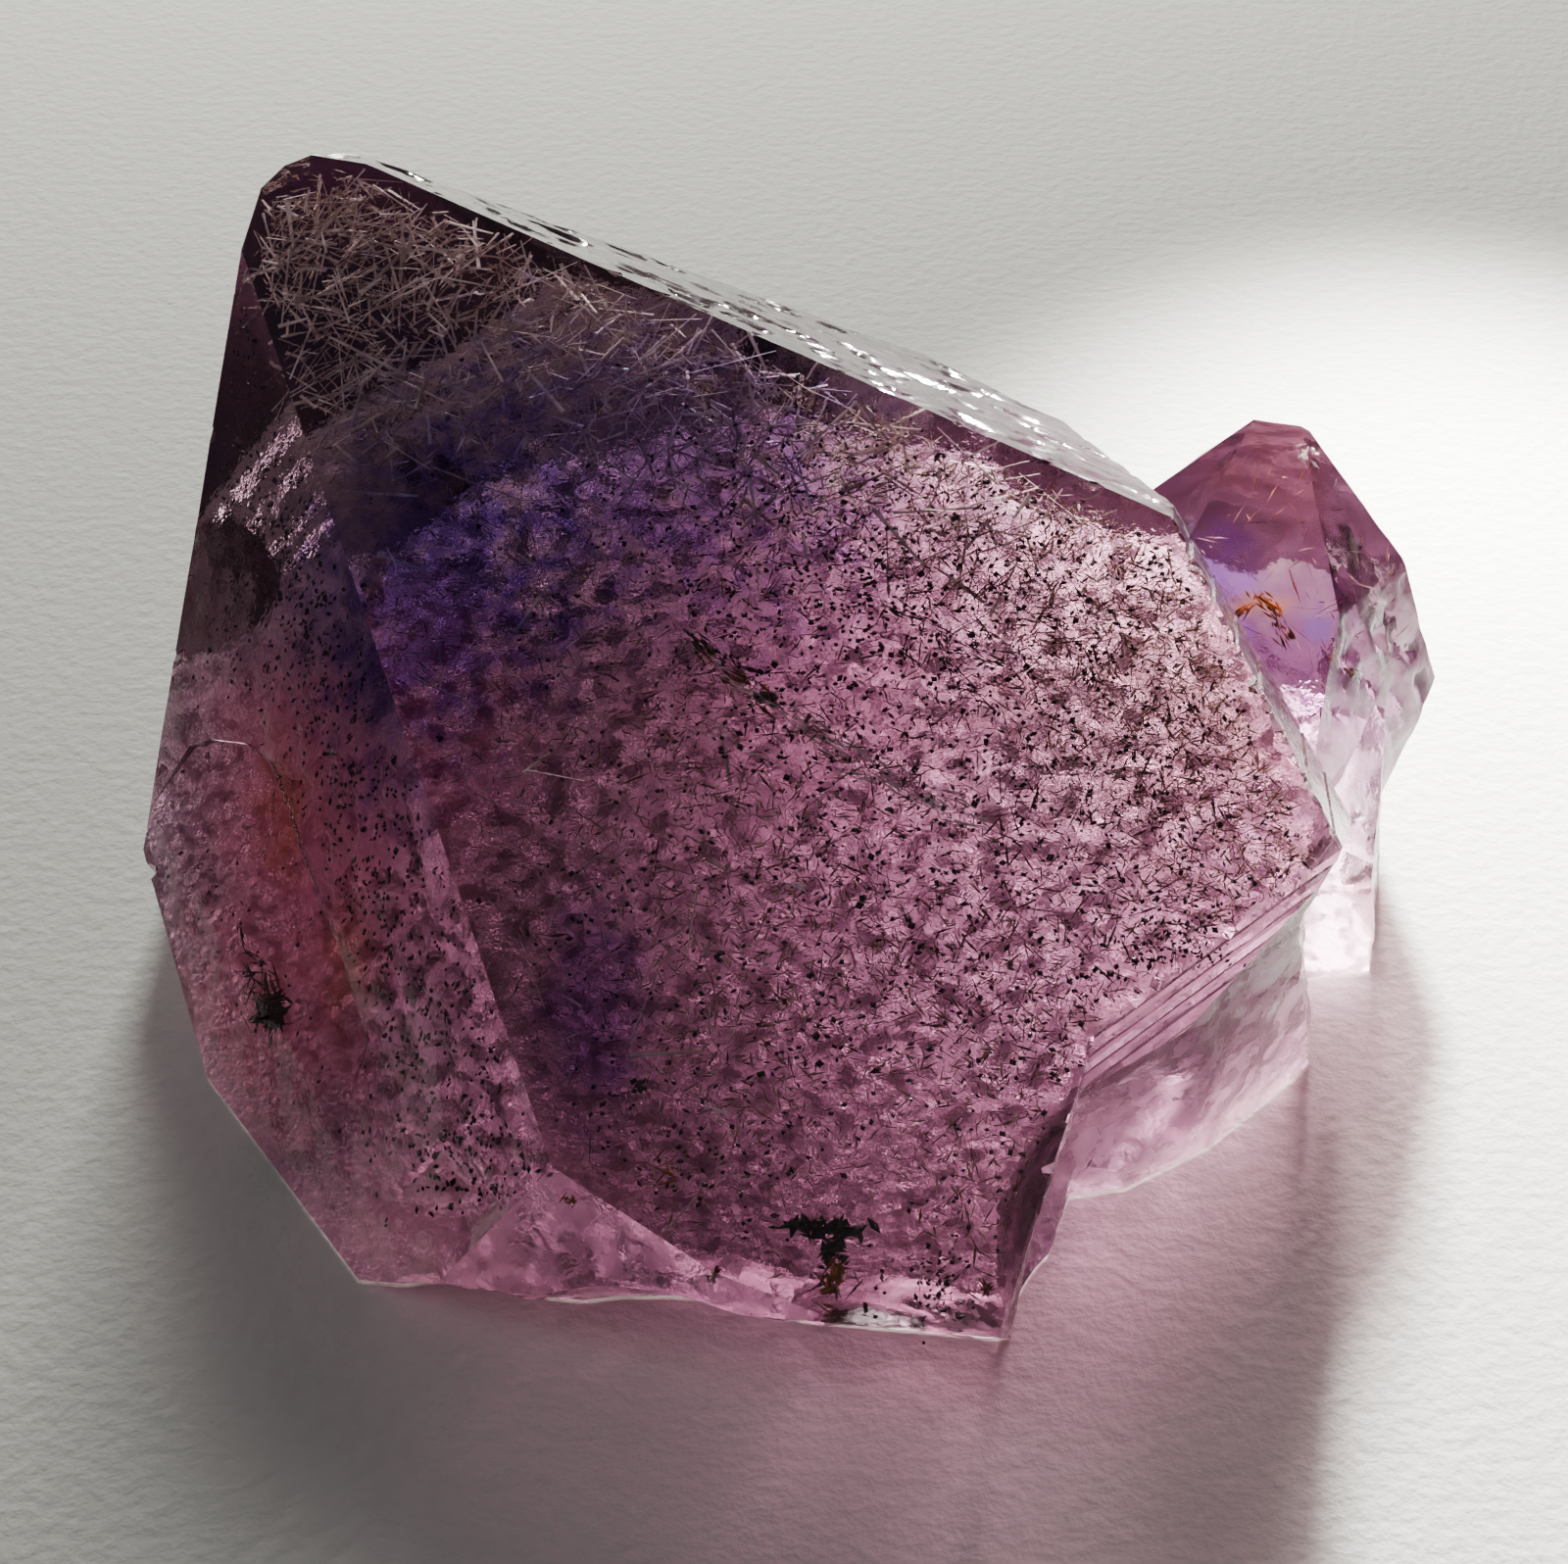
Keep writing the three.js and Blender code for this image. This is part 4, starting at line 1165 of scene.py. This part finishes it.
blades = joined(
    vein(LARGE, [(-3.3, 4.9), (-2.4, 4.1)], 0.9, 16, (0.15, 0.45), (0.06, 0.14), (0.03, 0.07), 0.10, 102),
    vein(LARGE, [(-0.6, 2.6), (0.4, 2.2)], 0.9, 22, (0.12, 0.35), (0.06, 0.16), (0.04, 0.08), 0.12, 105),
    vein(LEFT, [(-4.2, -6.9), (-5.4, -6.2), (-6.6, -6.4), (-7.5, -6.0)], 0.5, 40,
         (0.15, 0.5), (0.02, 0.05), (0.02, 0.04), 0.05, 108),
    vein(LARGE, [(3.0, 6.6), (4.6, 6.2), (6.2, 5.2), (7.4, 4.6)], 0.6, 44,
         (0.15, 0.5), (0.02, 0.05), (0.02, 0.04), 0.10, 111),
    vein(LARGE, [(5.2, 5.6), (5.6, 4.4), (6.8, 3.6)], 0.6, 26,
         (0.12, 0.4), (0.02, 0.05), (0.02, 0.04), 0.10, 114),
    clump(SIDE_WALL, 16.8, 4.9, 0.3, 20, (0.10, 0.3), (0.05, 0.10), (0.03, 0.06), 0.14, 117),
    clump(LEFT, -3.9, -7.3, 0.9, 60, (0.25, 0.75), (0.10, 0.30), (0.05, 0.16), 0.30, 51),
    clump(LEFT, -5.4, -6.9, 0.7, 14, (0.4, 0.9), (0.04, 0.10), (0.03, 0.06), 0.35, 54),
    clump(LARGE, 4.9, -16.9, 0.7, 46, (0.2, 0.5), (0.10, 0.26), (0.05, 0.14), 0.38, 57, (1.9, 0.5)),
    clump(LARGE, 5.2, -17.6, 0.7, 24, (0.2, 0.42), (0.10, 0.22), (0.05, 0.12), 0.22, 60),
    clump(LARGE, 8.5, -18.2, 0.5, 60, (0.06, 0.16), (0.05, 0.11), (0.03, 0.08), 0.42, 63, (0.8, 1.6)),
    clump(LARGE, 14.4, -5.6, 0.4, 90, (0.06, 0.17), (0.05, 0.12), (0.03, 0.08), 0.6, 66, (1.7, 0.8)),
    clump(LARGE, -1.6, -12.9, 0.5, 14, (0.10, 0.26), (0.08, 0.16), (0.05, 0.10), 0.10, 69),
)
dark_minerals = make_mesh("dark_minerals", *blades)
rust = joined(
    clump(LARGE, 5.4, -18.7, 0.6, 40, (0.25, 0.55), (0.05, 0.12), (0.03, 0.08), 0.22, 81, (0.6, 2.0)),
    clump(LEFT, -4.6, -7.0, 0.8, 30, (0.3, 0.95), (0.03, 0.09), (0.02, 0.05), 0.45, 84),
    clump(LARGE, 10.0, -18.3, 0.4, 14, (0.10, 0.35), (0.04, 0.09), (0.03, 0.06), 0.10, 87),
    clump(LARGE, 8.6, -15.4, 0.5, 24, (0.2, 0.7), (0.02, 0.05), (0.02, 0.03), 0.7, 90, (0.8, 1.5)),
    clump(LARGE, 1.8, -19.0, 0.4, 10, (0.10, 0.28), (0.05, 0.10), (0.03, 0.06), 0.12, 93),
    clump(LARGE, -3.0, -17.0, 0.5, 10, (0.10, 0.28), (0.05, 0.10), (0.03, 0.06), 0.12, 96),
    clump(LARGE, -0.3, -15.6, 0.6, 12, (0.2, 0.6), (0.03, 0.07), (0.02, 0.05), 0.25, 99),
    vein(LARGE, [(-2.9, 4.5), (-1.4, 3.3), (0.2, 2.5)], 1.0, 26,
         (0.2, 0.6), (0.05, 0.14), (0.03, 0.06), 0.22, 120),
    vein(SIDE_SLOPE, [(15.4, 12.9), (16.3, 13.9), (16.9, 13.3)], 0.2, 44,
         (0.12, 0.45), (0.03, 0.08), (0.02, 0.03), 0.16, 123),
    vein(SIDE_SLOPE, [(16.9, 13.4), (17.2, 12.7), (17.5, 12.3)], 0.2, 30,
         (0.10, 0.35), (0.03, 0.08), (0.02, 0.03), 0.12, 126),
    vein(SIDE_WALL, [(15.6, 6.6), (16.1, 5.6), (16.8, 4.9)], 0.25, 18,
         (0.10, 0.35), (0.02, 0.06), (0.02, 0.03), 0.08, 129),
)
rusty_minerals = make_mesh("rusty_minerals", *rust)

# %% [markdown]
# A healed crack runs across the large face below the dark mineral. It shows as white
# hairlines and a thin grey veil. A few more bright flakes lie under the large face and at
# the apex of the small crystal; these are painted glints, white blades put where the stone
# only catches the light. All of them are thin bright blades in one mesh.

# %% Crack hairlines and painted glints
hairline_and_painted_glint_parts = joined(
    vein(LARGE, [(-2.9, 4.4), (-1.4, 3.2), (0.0, 2.5)], 1.1, 14,
         (0.2, 0.5), (0.04, 0.10), (0.02, 0.03), 0.16, 198),
    vein(LARGE, [(-2.4, 3.5), (-1.2, 2.7), (0.2, 2.2)], 0.75, 22,
         (0.15, 0.6), (0.012, 0.03), (0.01, 0.02), 0.13, 201),
    vein(LARGE, [(-2.2, 1.0), (-0.6, 0.2), (1.0, -0.2)], 0.8, 16,
         (0.15, 0.5), (0.012, 0.03), (0.01, 0.02), 0.22, 204),
    vein(LARGE, [(0.6, 2.1), (3.0, 0.6), (5.4, -0.7), (7.9, -1.8)], 0.9, 110,
         (0.2, 0.8), (0.02, 0.05), (0.01, 0.02), 0.26, 207),
    # painted glints: white blades put where the stone only catches the light
    vein(LARGE, [(2.6, -0.2), (4.3, -0.6)], 0.6, 12, (0.3, 0.9), (0.015, 0.035), (0.01, 0.02), 0.10, 210),
    vein(LARGE, [(5.3, -0.9), (6.2, -1.5)], 0.6, 10, (0.3, 0.8), (0.015, 0.035), (0.01, 0.02), 0.10, 213),
    vein(LARGE, [(1.6, -4.7), (2.4, -5.1)], 0.5, 5, (0.2, 0.5), (0.03, 0.06), (0.01, 0.02), 0.06, 216),
    vein(LARGE, [(0.3, -13.2), (1.2, -13.4)], 0.5, 5, (0.2, 0.5), (0.03, 0.06), (0.01, 0.02), 0.06, 219),
    clump(SIDE_SLOPE, 17.9, 18.9, 0.15, 16, (0.1, 0.35), (0.04, 0.12), (0.01, 0.03), 0.16, 222),
)
hairlines_and_painted_glints = make_mesh("hairlines_and_painted_glints", *hairline_and_painted_glint_parts)

# %% [markdown]
# ## Finish: inclusions
#
# The inclusions are opaque minerals, and the loose white blades are painted glints. Each
# kind has two colours that a grain mixes, because a single colour on so many small pieces
# looks like paint. They need no relief: each is smaller than a tenth of a millimetre across.

# %% Inclusion materials
def dull(name, low, high, rough):
    """An opaque mineral between two colours, mixed by a grain, with its roughness."""
    material, tree, output = new_material(name)
    place = in_millimetres(tree)
    tone = ramp(tree, grain(tree, place, 0.8, 3.0), 0.35, 0.65)
    colour = blend_colour(tree, tone, (*low, 1.0), (*high, 1.0))
    body = add_node(tree, "ShaderNodeBsdfPrincipled", None, Base_Color=colour,
                    Roughness=ramp(tree, tone, 0.0, 1.0, rough, rough + 0.2))
    tree.links.new(body.outputs[0], output.inputs["Surface"])
    return material


MINERALS = (
    # mesh, name, one colour, the other colour, roughness
    (straws, "pale straw", (0.56, 0.47, 0.43), (0.84, 0.78, 0.72), 0.35),
    (needles, "brown needle", (0.07, 0.026, 0.015), (0.24, 0.11, 0.06), 0.4),
    (felt, "beige felt", (0.30, 0.20, 0.15), (0.62, 0.50, 0.42), 0.5),
    (specks, "dark speck", (0.010, 0.004, 0.010), (0.035, 0.012, 0.022), 0.3),
    (dark_minerals, "black mineral", (0.004, 0.005, 0.004), (0.03, 0.035, 0.02), 0.3),
    (rusty_minerals, "rusty mineral", (0.10, 0.035, 0.008), (0.36, 0.17, 0.03), 0.4),
    # one white for the crack's own hairlines and for the painted glints
    (hairlines_and_painted_glints, "white hairline and painted glint", (0.78, 0.76, 0.74), (0.95, 0.94, 0.92), 0.2),
)
for piece, name, low, high, rough in MINERALS:
    piece.data.materials.append(dull(name, low, high, rough))
print(len(MINERALS), "materials for the inclusions")

# %% [markdown]
# ## Floor, light and camera
#
# A plain pale floor lies just under the stone. Paper could be a picture, but a fine grain
# in the colour and in the bump is enough for a floor that only has to catch the shadow.

# %% Floor
floor_mesh = bpy.data.meshes.new("floor")
corners = np.array([[-2, -2, 0], [2, -2, 0], [2, 2, 0], [-2, 2, 0]], dtype=float)
corners[:, 2] = -0.00005
floor_mesh.from_pydata(corners.tolist(), [], [(0, 1, 2, 3)])
floor = linked("floor", floor_mesh)
material, tree, output = new_material("pale paper")
place = in_millimetres(tree)
paper = blend_colour(tree, grain(tree, place, 1.2, 4.0), (0.53, 0.525, 0.50, 1), (0.585, 0.58, 0.555, 1))
normal = add_node(tree, "ShaderNodeBump", None, Strength=0.35, Distance=0.0003,
                  Height=grain(tree, place, 1.5, 4.0)).outputs[0]
body = add_node(tree, "ShaderNodeBsdfPrincipled", None, Base_Color=paper, Roughness=0.9, Normal=normal)
tree.links.new(body.outputs[0], output.inputs["Surface"])
floor.data.materials.append(material)

# %% [markdown]
# One soft lamp stands low behind the stone, so that the stone glows and its shadow falls
# towards the viewer. A spot with a soft edge makes the bright pool behind on the right, and
# a broad dim lamp fills in from the left. The camera looks down by 35 degrees.

# %% Lamps, sky and camera
LOOK_DOWN = 35.0  # degrees


def aim(holder, place, target):
    """Puts a lamp or a camera at a place and turns its front to a target, in millimetres."""
    holder.location = Vector(place) * MM
    holder.rotation_euler = (Vector(target) - Vector(place)).to_track_quat("-Z", "Y").to_euler()


def soft_lamp(name, place, target, side, watts, tint=(1.0, 1.0, 1.0)):
    """A square area lamp that looks at a target, all in millimetres."""
    lamp = bpy.data.lights.new(name, "AREA")
    lamp.shape, lamp.size, lamp.energy, lamp.color = "SQUARE", side * MM, watts, tint
    aim(linked(name, lamp), place, target)


soft_lamp("low back lamp", (-20, 300, 130), (-6, 0, 6), 68, 1.5, (1.0, 1.0, 0.93))
soft_lamp("broad fill", (-260, -160, 320), (0, 0, 8), 260, 0.34, (0.95, 0.97, 1.0))

beam = bpy.data.lights.new("beam", "SPOT")
beam.energy, beam.color = 6.5, (1.0, 0.99, 0.95)
beam.spot_size, beam.spot_blend, beam.shadow_soft_size = math.radians(36), 1.0, 6 * MM
aim(linked("beam", beam), (30, 112, 56), (30, 4, 0))

world = bpy.data.worlds.new("studio")
bpy.context.scene.world = world
world.use_nodes = True
sky = world.node_tree.nodes["Background"].inputs
sky["Color"].default_value = (0.80, 0.82, 0.80, 1)
sky["Strength"].default_value = 0.055

lens = bpy.data.cameras.new("camera")
lens.sensor_width = 36.0
lens.lens = 84.68  # a horizontal field of view of 24 degrees
lens.clip_start = 0.01
camera = linked("camera", lens)
camera.location = Vector((0, -104.66, 81.38)) * MM
camera.rotation_euler = (math.radians(90.0 - LOOK_DOWN), 0.0, 0.0)
bpy.context.scene.camera = camera
bpy.context.scene.view_settings.look = "AgX - Medium High Contrast"
print("camera", LOOK_DOWN, "degrees down,", len(bpy.data.lights), "lamps")
